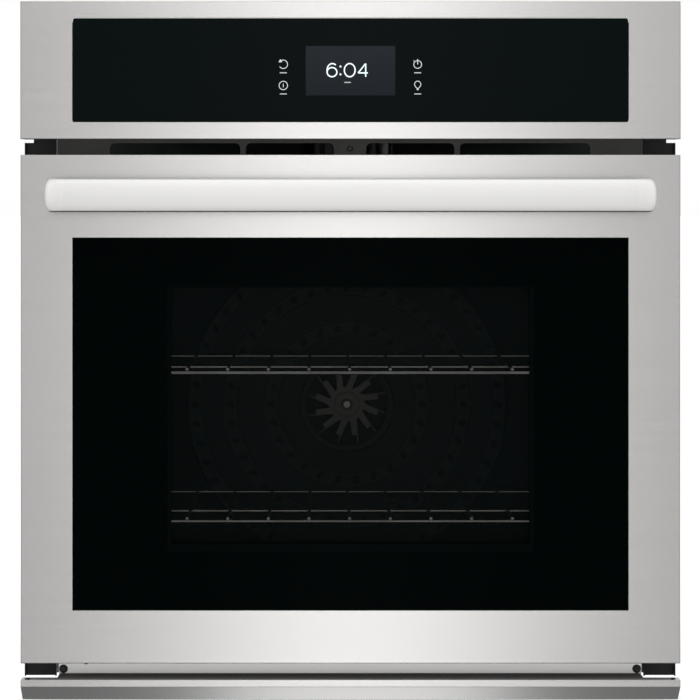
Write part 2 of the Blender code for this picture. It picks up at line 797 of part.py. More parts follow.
def make_cooling():
    bm = bmesh.new()
    mouth_z = (BLOWER.z, 0.5610)
    throat_z = (BLOWER.z, BLOWER.z + BLOWER_H - 0.004)
    front, rear = -0.0060, BLOWER.y - BLOWER_R - 0.004
    loops = []
    for wall in (0.0, 0.0010):
        loops.append(
            [
                add_loop(bm, rectangle(-w + wall, w - wall, z0 + wall, z1 - wall), "Y", y)
                for w, (z0, z1), y in ((0.2560, mouth_z, front), (0.0560, throat_z, rear))
            ]
        )
    outside, inside = loops
    bridge(bm, *outside)
    bridge(bm, *inside)
    for end in (0, 1):
        bridge(bm, outside[end], inside[end])
    add_object("air_duct", bm, "zinc_steel")

    top = BLOWER.z + BLOWER_H
    housing = lathe(
        "blower_housing",
        [
            (0.0, BLOWER.z),
            (BLOWER_R, BLOWER.z),
            (BLOWER_R, top),
            (0.0120, top),
            (0.0120, top - 0.0015),
            (BLOWER_R - 0.0015, top - 0.0015),
            (BLOWER_R - 0.0015, BLOWER.z + 0.0015),
            (0.0, BLOWER.z + 0.0015),
        ],
        (BLOWER.x, BLOWER.y, 0.0),
        "Z",
        "zinc_steel",
        steps=32,
    )
    outlet = rectangle(-0.050, 0.050, BLOWER.y - BLOWER_R - 0.01, BLOWER.y - 0.066)
    cut_outlines(housing, [outlet], "Z", BLOWER.z + 0.004, top - 0.004)
    inlets = []
    for k in range(6):
        turn = Matrix.Rotation(math.radians(60 * k), 2)
        corners = [(0.047, -0.010), (0.062, -0.013), (0.062, 0.013), (0.047, 0.010)]
        rotated = [turn @ Vector(corner) for corner in corners]
        inlets.append([(p.x + BLOWER.x, p.y + BLOWER.y) for p in rotated])
    cut_outlines(housing, inlets, "Z", top - 0.003, top + 0.003)

    frame = joint_frame("cooling_blower_axis", BLOWER)
    vanes = [
        (x + BLOWER.x, y + BLOWER.y) for x, y in star(20, 0.0440, BLOWER_WHEEL_R, 0.20, 0.40, 2)
    ]
    wheel = prism("blower_wheel", vanes, "Z", BLOWER.z + 0.0050, top - 0.0060, "zinc_steel", frame)
    stub = prism("wheel_stub", circle(BLOWER.x, BLOWER.y, SHAFT_R, 12), "Z", top - 0.010, top + 0.012)
    stub.parent = frame
    stub.location = -BLOWER
    join_shape(wheel, stub)
    lathe(
        "blower_motor",
        [
            (0.0, top + 0.0460),
            (0.0380, top + 0.0460),
            (0.0400, top + 0.0430),
            (0.0400, top + 0.0050),
            (0.0380, top + GAP),
            (SHAFT_R + GAP, top + GAP),
            (SHAFT_R + GAP, top + 0.0140),
            (0.0, top + 0.0140),
        ],
        (BLOWER.x, BLOWER.y, 0.0),
        "Z",
        "zinc_steel",
    )


def make_electrics():
    board_z = 0.6050
    board = box("power_board", (0.100, 0.060, board_z), (0.280, 0.190, board_z + 0.0016), "circuit")
    relays = [(0.110 + 0.034 * i, 0.070) for i in range(5)] + [(0.110, 0.130), (0.170, 0.125)]
    for i, (x, y) in enumerate(relays):
        low = (x, y, board_z + 0.0010)
        join_shape(board, box(f"relay_{i}", low, (x + 0.024, y + 0.028, board_z + 0.020)))

    x, z = CONDUIT
    back = CHASSIS_BACK
    lathe(
        "conduit_clamp",
        [
            (0.0080, back - 0.0090),
            (0.0145, back - 0.0090),
            (0.0145, back - 0.0013),
            (0.0107, back - 0.0013),
            (0.0107, back + GAP),
            (0.0145, back + GAP),
            (0.0145, back + 0.0110),
            (0.0080, back + 0.0110),
        ],
        (x, 0.0, z),
        "Y",
        "zinc_steel",
        steps=20,
    )


# ---- Latch ----


def make_latch():
    x, y, z = LATCH_PIVOT
    case = lathe(
        "latch_motor",
        [
            (0.0, z + 0.0208),
            (0.0240, z + 0.0208),
            (0.0250, z + 0.0195),
            (0.0250, z + 0.0035),
            (0.0, z + 0.0035),
        ],
        (x, y + 0.0200, 0.0),
        "Z",
        "zinc_steel",
    )
    join_shape(case, box("latch_bracket", (-0.044, 0.030, z - 0.0060), (-0.020, 0.075, z + 0.0060)))

    tip_y, barb_y = -0.0315, -0.0235
    hook = [
        (x - 0.0060, y),
        (x - 0.0060, tip_y + 0.0040),
        (x - 0.0020, tip_y),
        (x + 0.0110, tip_y + 0.0030),
        (x + 0.0120, barb_y),
        (x + 0.0060, barb_y),
        (x + 0.0060, y),
        (x + 0.0030, y + 0.0080),
        (x - 0.0030, y + 0.0080),
    ]
    frame = joint_frame("door_latch_axis", LATCH_PIVOT)
    prism("latch_hook", hook, "Z", z, z + 0.0030, "zinc_steel", frame)


# ---- Door hinges ----


def make_hinges(door_frame):
    """Arms hook into receivers in the chassis; the channels, rods and springs are in the door."""
    arm_low = DOOR_PIVOT.z - 0.0077
    arm_high = DOOR_PIVOT.z + 0.0083
    pivot_y, pivot_z = DOOR_PIVOT.y, DOOR_PIVOT.z
    eye = circle(pivot_y, pivot_z, 0.0090, 24)
    front_half = [p for p in eye if p[0] <= pivot_y + 1e-9]
    front_half.sort(key=lambda p: math.atan2(p[1] - pivot_z, -(p[0] - pivot_y)), reverse=True)
    arm_outline = front_half + [
        (-0.030, arm_low),
        (0.020, arm_low),
        (0.022, arm_low + 0.004),
        (0.030, arm_low + 0.004),
        (0.032, arm_low - 0.004),
        (0.070, arm_low - 0.004),
        (0.074, arm_low),
        (0.074, arm_high - 0.004),
        (0.030, arm_high),
        (-0.030, arm_high),
    ]
    for side, x in (("left", -HINGE_X), ("right", HINGE_X)):
        half = HINGE_ARM_THICK / 2
        arm = prism(f"hinge_arm_{side}", arm_outline, "X", x - half, x + half, "zinc_steel")
        pin = circle(pivot_y, pivot_z, HINGE_PIN_R, 16)
        join_shape(arm, prism(f"pin_{side}", pin, "X", x - 0.0078, x + 0.0078))
        rivet = circle(LOCK_PIVOT.y, LOCK_PIVOT.z, 0.0019, 10)
        join_shape(arm, prism(f"rivet_{side}", rivet, "X", x - 0.0045, x + 0.0045))

        receiver = folded_sheet(
            [(x - 0.0080, 0.0460), (x - 0.0080, 0.0110), (x + 0.0080, 0.0110), (x + 0.0080, 0.0460)]
        )
        prism(f"hinge_receiver_{side}", receiver, "Y", -0.0064, 0.0900, "zinc_steel")

        channel = box(
            f"hinge_channel_{side}",
            (x - 0.0070, -0.0500, 0.0195),
            (x + 0.0070, -0.0200, 0.1650),
            "zinc_steel",
            door_frame,
        )
        inside = (x - 0.0055, x + 0.0055, -0.0485, -0.0100)
        cut_outlines(channel, [rectangle(*inside)], "Z", 0.0100, 0.0725)
        cut_outlines(channel, [rectangle(*inside)], "Z", 0.0745, 0.1800)
        hole = circle(pivot_y, pivot_z, HINGE_PIN_R + GAP, 16)
        cut_outlines(channel, [hole], "X", x - 0.02, x + 0.02)
        cut_outlines(channel, [circle(x, ROD_Y, ROD_R + GAP, 12)], "Z", 0.0700, 0.0800)

        rod_frame = joint_frame(f"hinge_rod_{side}_slide", (x, ROD_Y, 0.0560))
        lathe(
            f"hinge_rod_{side}",
            [
                (0.0, ROD_Z[0]),
                (ROD_R, ROD_Z[0]),
                (ROD_R, SPRING_Z[1] + GAP),
                (0.0048, SPRING_Z[1] + GAP),
                (0.0048, ROD_Z[1]),
                (0.0, ROD_Z[1]),
            ],
            (x, ROD_Y, 0.0),
            "Z",
            "zinc_steel",
            rod_frame,
            steps=12,
        )
        lathe(
            f"hinge_spring_{side}",
            [
                (ROD_R + 0.0004, SPRING_Z[0]),
                (0.0050, SPRING_Z[0]),
                (0.0050, SPRING_Z[1]),
                (ROD_R + 0.0004, SPRING_Z[1]),
            ],
            (x, ROD_Y, 0.0),
            "Z",
            "zinc_steel",
            door_frame,
            steps=12,
        )
        make_lock(side, x)


def make_lock(side, x):
    """The bail that straddles the arm and holds the door off its springs when it is flipped up."""
    pivot = Vector((x, LOCK_PIVOT.y, LOCK_PIVOT.z))
    frame = joint_frame(f"hinge_lock_{side}_axis", pivot)
    y, z = pivot.y, pivot.z
    lever = [
        (y - 0.0030, z - 0.0028),
        (y + 0.0150, z - 0.0022),
        (y + 0.0160, z + 0.0010),
        (y + 0.0160, z + 0.0056),
        (y + 0.0070, z + 0.0056),
        (y + 0.0050, z + 0.0030),
        (y - 0.0030, z + 0.0028),
    ]
    lock = prism(f"hinge_lock_{side}", lever, "X", x - 0.0047, x + 0.0047, "zinc_steel", frame)
    slot = rectangle(x - 0.0035, x + 0.0035, y - 0.02, y + 0.03)
    cut_outlines(lock, [slot], "Z", z - 0.02, z + 0.0043)
    hole = circle(y, z, 0.0019 + GAP, 10)
    cut_outlines(lock, [hole], "X", x - 0.02, x + 0.02)


# ---- Door ----


def make_door(frame):
    front, rear = DOOR_Y
    low, high = DOOR_Z
    half = DOOR_HALF_W
    skin_wall = 0.0008
    skin = tray(
        "door_skin",
        rectangle(-half, half, low, high),
        rectangle(-half + skin_wall, half - skin_wall, low + skin_wall, high - skin_wall),
        -0.0360,
        front,
        skin_wall,
        "brushed_steel",
        frame,
    )
    opening = rectangle(-DOOR_OPENING_HALF_W, DOOR_OPENING_HALF_W, *DOOR_OPENING_Z)
    cut_outlines(skin, [opening], "Y", front - 0.01, front + 0.005)
    cut_outlines(skin, [rectangle(-0.3405, 0.3405, low - 0.01, low + 0.002)], "Y", -0.0510, -0.0300)
    cut_outlines(skin, [rectangle(-0.3405, 0.3405, high - 0.002, high + 0.01)], "Y", -0.0500, -0.0300)

    glass_y = front + skin_wall + GAP
    margin = 0.0098
    box(
        "door_outer_glass",
        (-DOOR_OPENING_HALF_W - margin, glass_y, DOOR_OPENING_Z[0] - margin),
        (DOOR_OPENING_HALF_W + margin, glass_y + GLASS, DOOR_OPENING_Z[1] + margin),
        "black_glass",
        frame,
    )
    box("door_middle_glass", (-0.212, -0.0400, 0.115), (0.212, -0.0360, 0.435), "clear_glass", frame)
    inner_y = rear - SHEET - GAP
    box(
        "door_inner_glass",
        (-WINDOW_HALF_W - 0.012, inner_y - GLASS, WINDOW_Z[0] - 0.012),
        (WINDOW_HALF_W + 0.012, inner_y, WINDOW_Z[1] + 0.012),
        "clear_glass",
        frame,
    )

    liner_half = half - 0.0022
    liner_low, liner_high = low + 0.0013, high - 0.0039
    liner = tray(
        "door_liner",
        rectangle(-liner_half, liner_half, liner_low, liner_high),
        rectangle(
            -liner_half + SHEET, liner_half - SHEET, liner_low + SHEET, liner_high - SHEET
        ),
        -0.0500,
        rear,
        SHEET,
        "enamel",
        frame,
    )
    window = rounded_rectangle(-WINDOW_HALF_W, WINDOW_HALF_W, *WINDOW_Z, 0.010)
    slot = rectangle(*LATCH_SLOT_X, *LATCH_SLOT_Z)
    cut_outlines(liner, [window, slot], "Y", rear - 0.006, rear + 0.01)
    pockets = [
        rectangle(x - HINGE_POCKET_HALF_W, x + HINGE_POCKET_HALF_W, 0.0100, 0.0535)
        for x in (-HINGE_X, HINGE_X)
    ]
    cut_outlines(liner, pockets, "Y", -0.0475, 0.0)

    ring_prism(
        "door_insulation",
        rectangle(-0.272, 0.272, 0.060, 0.496),
        rectangle(-0.220, 0.220, 0.108, 0.442),
        "Y",
        -0.0500,
        rear - SHEET - 0.0010,
        "wool",
        frame,
    )

    cap = box(
        "door_top_cap",
        (-liner_half + 0.002, -0.0497, liner_high + 0.0006),
        (liner_half - 0.002, rear - 0.0002, high - GAP),
        "black_plastic",
        frame,
    )
    vents = [rounded_rectangle(x, x + 0.036, -0.038, -0.026, 0.004, 2) for x in VENT_CAP_X]
    cut_outlines(cap, vents, "Z", high - 0.01, high + 0.01)


def handle_path():
    """Centre line of the handle in plan, from the left end to the right, as (x, y, direction)."""
    bend_x = HANDLE_HALF_W - HANDLE_THICK / 2 - HANDLE_BEND_R
    start_y = DOOR_Y[0] - 0.0004
    bend_y = start_y - HANDLE_END_RUN
    side = [(bend_x + HANDLE_BEND_R, start_y, math.radians(-90))]
    slope = math.atan(2.0 * HANDLE_BOW / bend_x)
    steps = 5
    for i in range(steps + 1):
        turn = (math.pi / 2 - slope) * i / steps
        x = bend_x + HANDLE_BEND_R * math.cos(turn)
        y = bend_y - HANDLE_BEND_R * math.sin(turn)
        side.append((x, y, math.radians(-90) - turn))
    x0, y0, _ = side[-1]
    bow_steps = 6
    for i in range(1, bow_steps):
        x = x0 * (1.0 - i / bow_steps)
        y = y0 - HANDLE_BOW * (1.0 - (x / x0) ** 2)
        heading = math.atan2(-2.0 * HANDLE_BOW * x / x0**2, -1.0)
        side.append((x, y, heading))
    middle = (0.0, y0 - HANDLE_BOW, math.pi)
    other = [(-x, y, math.pi * 2 - heading) for x, y, heading in reversed(side)]
    return side + [middle] + other


def make_handle(frame):
    """A lofted bar: a rounded section 14 by 32 mm carried along the plan path."""
    section = rounded_rectangle(
        -HANDLE_THICK / 2,
        HANDLE_THICK / 2,
        -HANDLE_HEIGHT / 2,
        HANDLE_HEIGHT / 2,
        0.0062,
        steps=2,
    )
    bm = bmesh.new()
    loops = []
    for x, y, heading in handle_path():
        across = Vector((math.sin(heading), -math.cos(heading), 0.0))
        loop = []
        for u, v in section:
            place = Vector((x, y, HANDLE_Z + v)) + across * u
            loop.append(bm.verts.new(place))
        loops.append(loop)
    for loop_a, loop_b in zip(loops, loops[1:]):
        bridge(bm, loop_a, loop_b)
    bm.faces.new(loops[0])
    bm.faces.new(loops[-1])
    smooth(add_object("handle_bar", bm, "brushed_steel", frame))


# ---- Control panel ----


def make_control_panel():
    front = DOOR_Y[0]
    half = PANEL_HALF_W
    low, high = PANEL_Z
    wall = 0.0010
    panel = tray(
        "control_frame",
        rectangle(-half, half, low, high),
        rectangle(-half + wall, half - wall, low + wall, high - wall),
        -0.0010,
        front,
        wall,
        "brushed_steel",
    )
    opening = rounded_rectangle(-PANEL_GLASS_HALF_W, PANEL_GLASS_HALF_W, *PANEL_GLASS_Z, 0.0022)
    cut_outlines(panel, [opening], "Y", front - 0.01, front + 0.005)
    bottom = rectangle(-half + wall, half - wall, low - 0.01, low + 0.002)
    cut_outlines(panel, [bottom], "Y", FRAME_FACE - 0.0012, 0.01)

    glass_y = front + 0.0004
    play = 0.0004
    prism(
        "control_glass",
        rounded_rectangle(
            -PANEL_GLASS_HALF_W + play,
            PANEL_GLASS_HALF_W - play,
            PANEL_GLASS_Z[0] + play,
            PANEL_GLASS_Z[1] - play,
            0.0020,
        ),
        "Y",
        glass_y,
        glass_y + GLASS,
        "black_glass",
    )
    screen_y = glass_y + GLASS + GAP
    box(
        "display_module",
        (-DISPLAY_HALF_W, screen_y, DISPLAY_Z[0]),
        (DISPLAY_HALF_W, screen_y + 0.0080, DISPLAY_Z[1]),
        "screen",
    )
    board_y = screen_y + 0.0080 + GAP
    board = box("touch_board", (-0.150, board_y, 0.590), (0.150, board_y + 0.0016, 0.676), "circuit")
    for i, x in enumerate((-0.10, 0.02, 0.08)):
        low_corner = (x, board_y + 0.0010, 0.610)
        join_shape(board, box(f"chip_{i}", low_corner, (x + 0.03, board_y + 0.006, 0.640)))


# ---- Trims ----


def make_trims():
    low_x, high_x = TRIM_X
    channel = folded_sheet(
        [(low_x, -TRIM_DEPTH), (low_x, 0.0), (high_x, 0.0), (high_x, -TRIM_DEPTH)], -SHEET
    )
    for side, sign in (("left", -1.0), ("right", 1.0)):
        outline = [(sign * x, y) for x, y in channel]
        trim = prism(f"side_trim_{side}", outline, "Z", *TRIM_Z, "black_paint")
        outer = rectangle(*sorted(sign * x for x in TRIM_OUTER_X), -0.02, 0.02)
        cut_outlines(trim, [outer], "Z", TRIM_TOP, 0.70)
        hole_x, hole_heights, hole_r = TRIM_HOLES
        holes = [circle(sign * hole_x, z, hole_r, 12) for z in hole_heights]
        cut_outlines(trim, holes, "Y", -0.004, 0.004)

    ledge, front = SILL_LEDGE_Z - SILL_SHEET, SILL_FRONT + SILL_SHEET
    profile = folded_sheet(
        [(-0.0084, 0.0120), (-0.0084, ledge), (front, ledge), (front, -0.0072), (-0.0300, -0.0236)],
        -SILL_SHEET,
    )
    trim = prism("bottom_trim", profile, "X", -PANEL_HALF_W, PANEL_HALF_W, "brushed_steel")
    notch_x, notch_y = SILL_NOTCH
    corners = [rectangle(-0.38, -notch_x, notch_y, 0.0), rectangle(notch_x, 0.38, notch_y, 0.0)]
    cut_outlines(trim, corners, "Z", -0.0060, 0.0300)

    strip_x = CHASSIS_HALF_W - 0.0020
    low, high = STRIP_Z
    box("lower_strip", (-strip_x, -0.0110, low), (strip_x, -0.0098, high), "brushed_steel")


clear_scene()
make_chassis()
make_front_frame()
make_cavity()
make_racks()
make_heaters()
make_lamp_and_probe()
make_fan()
make_insulation()
make_cooling()
make_electrics()
make_latch()
door = joint_frame("door_hinge_axis", DOOR_PIVOT)
make_hinges(door)
make_door(door)
make_handle(door)
make_control_panel()
make_trims()
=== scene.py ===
"""Built-in wall oven: the finished surfaces, worked round the frame of solids that carries them."""

import math

import bmesh
import bpy
from mathutils import Matrix, Vector, noise
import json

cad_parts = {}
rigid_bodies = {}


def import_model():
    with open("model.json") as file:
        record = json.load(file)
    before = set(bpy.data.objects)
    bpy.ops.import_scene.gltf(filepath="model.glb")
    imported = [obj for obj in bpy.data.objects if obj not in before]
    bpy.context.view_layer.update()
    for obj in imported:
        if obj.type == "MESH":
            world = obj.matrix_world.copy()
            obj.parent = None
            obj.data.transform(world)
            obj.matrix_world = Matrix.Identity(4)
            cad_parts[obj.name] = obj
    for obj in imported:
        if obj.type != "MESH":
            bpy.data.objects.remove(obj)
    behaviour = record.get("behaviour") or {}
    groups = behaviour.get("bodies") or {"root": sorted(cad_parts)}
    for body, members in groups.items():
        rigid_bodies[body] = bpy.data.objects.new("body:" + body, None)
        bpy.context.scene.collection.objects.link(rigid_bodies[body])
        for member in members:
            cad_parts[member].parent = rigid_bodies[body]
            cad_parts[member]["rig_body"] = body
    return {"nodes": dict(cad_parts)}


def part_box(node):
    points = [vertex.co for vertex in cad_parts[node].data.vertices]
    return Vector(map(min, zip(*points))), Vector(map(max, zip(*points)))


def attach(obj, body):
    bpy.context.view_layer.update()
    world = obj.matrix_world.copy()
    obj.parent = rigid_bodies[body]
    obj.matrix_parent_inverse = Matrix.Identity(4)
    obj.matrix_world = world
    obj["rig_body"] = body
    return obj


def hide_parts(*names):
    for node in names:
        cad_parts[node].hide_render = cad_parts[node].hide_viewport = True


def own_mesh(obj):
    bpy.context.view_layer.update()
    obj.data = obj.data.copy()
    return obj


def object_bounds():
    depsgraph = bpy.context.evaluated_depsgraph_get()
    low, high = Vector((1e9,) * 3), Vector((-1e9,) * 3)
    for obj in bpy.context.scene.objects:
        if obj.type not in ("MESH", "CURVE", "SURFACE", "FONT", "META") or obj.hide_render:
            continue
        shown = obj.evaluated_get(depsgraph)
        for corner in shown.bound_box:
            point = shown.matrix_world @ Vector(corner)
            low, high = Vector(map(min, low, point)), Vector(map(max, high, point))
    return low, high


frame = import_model()
cad_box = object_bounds()


# ---- Studio ----
# A long lens square to the door, level with the handle. A white room, a little darker towards the
# ground, a tall strip light behind the camera for the steel's bright middle with its bounce from
# under the sill, a soft light overhead, and a small light for what comes in at the door's window.

EYE = (-0.032, -3.909, 0.514)
LENS = 190.6
LENS_DROP = 0.236
LENS_SLIDE = 0.0433
ROOM_BELOW = 0.63

camera = bpy.data.objects.new("camera", bpy.data.cameras.new("camera"))
camera.location = EYE
camera.rotation_euler = (math.radians(90), 0.0, 0.0)
camera.data.sensor_width = 36.0
camera.data.lens = LENS
camera.data.shift_x = LENS_SLIDE
camera.data.shift_y = -LENS_DROP
camera.data.clip_start = 0.05
bpy.context.scene.collection.objects.link(camera)
bpy.context.scene.camera = camera
bpy.context.scene.view_settings.view_transform = "Standard"

world = bpy.data.worlds.new("white room")
world.use_nodes = True
room = world.node_tree
room.nodes["Background"].inputs["Color"].default_value = (1.0, 1.0, 1.0, 1.0)
look = room.nodes.new("ShaderNodeSeparateXYZ")
rise = room.nodes.new("ShaderNodeMapRange")
for key, value in (("From Min", -0.30), ("From Max", 0.0), ("To Min", ROOM_BELOW), ("To Max", 1.0)):
    rise.inputs[key].default_value = value
room.links.new(room.nodes.new("ShaderNodeTexCoord").outputs["Generated"], look.inputs["Vector"])
room.links.new(look.outputs["Z"], rise.inputs["Value"])
room.links.new(rise.outputs["Result"], room.nodes["Background"].inputs["Strength"])
bpy.context.scene.world = world


def softbox(name, place, target, width, height, power):
    light = bpy.data.lights.new(name, "AREA")
    light.shape = "RECTANGLE"
    light.size = width
    light.size_y = height
    light.energy = power
    lamp = bpy.data.objects.new(name, light)
    lamp.location = place
    lamp.rotation_euler = (Vector(target) - Vector(place)).to_track_quat("-Z", "Y").to_euler()
    bpy.context.scene.collection.objects.link(lamp)


softbox("strip_light", (0.04, -4.8, 0.5), (0.04, 0.0, 0.5), 0.45, 7.0, 54.0)
softbox("window_light", (0.0, -0.004, 0.272), (0.0, 1.0, 0.272), 0.42, 0.25, 0.070)
softbox("bounce_light", (0.04, 1.36, -2.08), (0.04, -0.045, -0.016), 0.48, 1.5, 8.0)
softbox("overhead_light", (0.0, -1.6, 2.6), (0.0, 0.0, 0.4), 2.4, 1.2, 18.0)


# ---- Brushed steel front: control frame, door skin, trims ----
# Stainless sheet with its grain along the width, folded at the edges. The folds are a few tenths
# of a millimetre round, which draws a thin light line along each edge.


class Flow:
    """The output of a material node; arithmetic on it adds Math nodes."""

    def __init__(self, finish, socket):
        self.finish = finish
        self.socket = socket

    def maths(self, operation, *others):
        return self.finish.node("Math", {"operation": operation}, dict(enumerate((self, *others))))

    def __add__(self, other):
        return self.maths("ADD", other)

    __radd__ = __add__

    def __mul__(self, other):
        return self.maths("MULTIPLY", other)

    __rmul__ = __mul__

    def __sub__(self, other):
        return self.maths("SUBTRACT", other)

    def __rsub__(self, other):
        return self.finish.node("Math", {"operation": "SUBTRACT"}, {0: other, 1: self})

    def step(self, low, high):
        """0 below low and 1 above high, with an even slope between."""
        ends = {"Value": self, "From Min": low, "From Max": high}
        return self.finish.node("MapRange", {}, ends, "Result")

    def within(self, low, high, soft):
        """1 between low and high, 0 outside, over an edge of the given softness."""
        return self.step(low - soft, low) * (1 - self.step(high, high + soft))


class Finish:
    """A Principled material under construction."""

    def __init__(self, name, colour, **settings):
        self.material = bpy.data.materials.new(name)
        self.material.use_nodes = True
        self.tree = self.material.node_tree
        self.shader = self.tree.nodes["Principled BSDF"]
        self.shader.inputs["Base Color"].default_value = (*colour, 1.0)
        for key, value in settings.items():
            self.shader.inputs[key.replace("_", " ")].default_value = value
        self.coords = self.node("TexCoord", {}, {}, "Object")

    def node(self, kind, settings, inputs, output=0):
        node = self.tree.nodes.new("ShaderNode" + kind)
        for key, value in settings.items():
            setattr(node, key, value)
        for key, value in inputs.items():
            if isinstance(value, Flow):
                self.tree.links.new(value.socket, node.inputs[key])
            else:
                node.inputs[key].default_value = value
        return Flow(self, node.outputs[output])

    def axes(self, letters="XYZ"):
        return [self.node("SeparateXYZ", {}, {"Vector": self.coords}, each) for each in letters]

    def grain(self, scale, stretch=(1.0, 1.0, 1.0), detail=3.0):
        """Noise from 0 to 1 whose lumps are drawn out by stretch."""
        place = self.node("Mapping", {}, {"Vector": self.coords, "Scale": stretch})
        return self.node("TexNoise", {}, {"Vector": place, "Scale": scale, "Detail": detail}, "Fac")

    def blend(self, mask, colour_a, colour_b):
        """Colour a where the mask is 0 and colour b where it is 1."""
        a, b = (c if isinstance(c, Flow) else (*c, 1.0) for c in (colour_a, colour_b))
        return self.node("Mix", {"data_type": "RGBA"}, {0: mask, 6: a, 7: b}, 2)

    def bump(self, height, strength, distance):
        inputs = {"Height": height, "Strength": strength, "Distance": distance}
        return self.node("Bump", {}, inputs, "Normal")

    def tone(self):
        """The colour that the finish has so far."""
        return Flow(self, self.shader.inputs["Base Color"].links[0].from_socket)

    def set(self, **links):
        for key, flow in links.items():
            self.tree.links.new(flow.socket, self.shader.inputs[key.replace("_", " ")])
        return self.material


def shades(colour, *factors):
    return [tuple(min(1.0, factor * c) for c in colour) for factor in factors]


STEEL = (0.312, 0.306, 0.301)
ALONG_GRAIN, ACROSS_GRAIN = 4.0, 900.0


def brushed(name, colour=STEEL, roughness=0.25, metallic=1.0):
    """Stainless with fine scratches along its width."""
    finish = Finish(name, colour, Metallic=metallic, Roughness=roughness)
    scratches = finish.grain(3.0, (ALONG_GRAIN, ACROSS_GRAIN, ACROSS_GRAIN), 2.0)
    cloud = finish.grain(4.0, detail=2.0)
    patchy = scratches * 0.75 + cloud * 0.25
    finish.set(
        Base_Color=finish.blend(patchy.step(0.3, 0.7), *shades(colour, 0.95, 1.05)),
        Roughness=scratches * 0.06 + (roughness - 0.03),
        Normal=finish.bump(scratches, 0.02, 0.0001),
    )
    return finish


def solid_copy(node):
    """A copy of a solid of the frame with its triangles joined back into flat faces."""
    bm = bmesh.new()
    bm.from_mesh(frame["nodes"][node].data)
    bmesh.ops.remove_doubles(bm, verts=bm.verts, dist=1e-6)
    bmesh.ops.dissolve_limit(
        bm, angle_limit=math.radians(1.0), verts=bm.verts, edges=bm.edges, delimit={"NORMAL"}
    )
    return bm


def as_object(name, mesh):
    piece = bpy.data.objects.new(name, mesh)
    bpy.context.scene.collection.objects.link(piece)
    return piece


def as_mesh(name, bm):
    mesh = bpy.data.meshes.new(name)
    bm.to_mesh(mesh)
    bm.free()
    return mesh


def as_piece(name, bm, material, smooth_angle=35):
    mesh = as_mesh(name, bm)
    mesh.materials.append(material)
    mesh.shade_smooth()
    mesh.set_sharp_from_angle(angle=math.radians(smooth_angle))
    return as_object(name, mesh)


def baked(piece):
    """Turns a piece's modifiers into its mesh."""
    seen = piece.evaluated_get(bpy.context.evaluated_depsgraph_get())
    mesh = bpy.data.meshes.new_from_object(seen)
    piece.modifiers.clear()
    piece.data = mesh


def rounded_edges(piece, width, segments):
    bevel = piece.modifiers.new("edges", "BEVEL")
    bevel.width = width
    bevel.segments = segments
    bevel.limit_method = "ANGLE"
    bevel.angle_limit = math.radians(30)
    bevel.harden_normals = True
    baked(piece)


def joins(piece, body, slot, *nodes):
    """The piece moves with a body and stands for the frame's nodes; the slot is not used."""
    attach(piece, body)
    if nodes:
        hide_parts(*nodes)


def body_of_node(node):
    return frame["nodes"][node]["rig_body"]


def dressed(node, material, slot, edge=0.0003, segments=2):
    """The frame's solid with softly rounded edges and its real finish."""
    piece = as_piece(f"{node}_finished", solid_copy(node), material)
    if edge:
        rounded_edges(piece, edge, segments)
    joins(piece, body_of_node(node), slot, node)


FOLD = 0.0007
FOLD_SOFT = 0.0002
# Colour of the painted shade along the folded edges.
FOLD_PAINTED_SHADE = (0.12, 0.118, 0.116)


def folded_steel(node):
    """The front steel of one panel, with a painted shade where the sheet turns over its sides and
    bottom, for the dark that the folded edges reflect.
    """
    finish = brushed(f"brushed_steel_{node}")
    low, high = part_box(node)
    x, z = finish.axes("XZ")
    bottom = low.z + FOLD
    flat = x.within(low.x + FOLD, high.x - FOLD, FOLD_SOFT) * z.step(bottom, bottom + FOLD_SOFT)
    return finish.set(Base_Color=finish.blend(flat, FOLD_PAINTED_SHADE, finish.tone()))


for node in ("control_frame", "door_skin"):
    dressed(node, folded_steel(node), "brushed_steel", 0.0010, 4)

LEDGE_HALF_X = 0.3320
LEDGE_Y = -0.0576
LEDGE_Z = -0.0014
FOOT_Z = -0.0078
EDGE_SOFT = 0.0004


def sill_painted_shade_finish():
    """The front steel, with painted shade: the ledge in the shadow under the door coloured dark and
    dull, and the sloping foot darker for the dark ground it reflects.
    """
    finish = brushed("brushed_steel_sill")
    x, y, z = finish.axes()
    # Painted shade: the ledge under the door, dark and dull.
    ledge = z.step(LEDGE_Z, LEDGE_Z + EDGE_SOFT) * y.step(LEDGE_Y, LEDGE_Y + EDGE_SOFT)
    ledge = ledge * x.within(-LEDGE_HALF_X, LEDGE_HALF_X, 0.002)
    # Painted shade: the sloping foot below FOOT_Z, darker.
    tone = finish.blend(z.step(FOOT_Z, FOOT_Z + 0.0006), (0.120, 0.118, 0.116), finish.tone())
    dull = 1 - ledge
    return finish.set(
        Base_Color=finish.blend(ledge, tone, (0.180, 0.174, 0.168)),
        Metallic=dull,
        Roughness=dull * -0.74 + 1.0,
    )


dressed("bottom_trim", sill_painted_shade_finish(), "brushed_steel")
# The lower strip is a much lighter copy of the door's brushed steel: painted light, so that it reads
# brighter under the door.
strip_steel_painted_light = brushed("brushed_steel_strip", (0.73, 0.72, 0.71), 0.45).material
dressed("lower_strip", strip_steel_painted_light, "brushed_steel", 0.0002)


# ---- Handle ----
# A polished bar of oval section, 14 by 32 mm, bowed forward in the middle, whose ends turn in and
# stand flat on the door. Two screws from inside the door hold each end.

handle_low, handle_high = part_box("handle_bar")
HANDLE_CROWN = 0.0006
HANDLE_OVAL = (0.0070, (handle_high.z - handle_low.z) / 2 + HANDLE_CROWN)
HANDLE_CENTRE_Z = (handle_high.z + handle_low.z) / 2 + HANDLE_CROWN
HANDLE_TURN = 0.0150
HANDLE_BOW = 0.0140
HANDLE_RUN = handle_high.y - handle_low.y - HANDLE_TURN - HANDLE_BOW - HANDLE_OVAL[0]
HANDLE_PAINTED_HIGHLIGHT_X = 0.2950
TURN_STEPS, BOW_STEPS, AROUND = 14, 24, 40


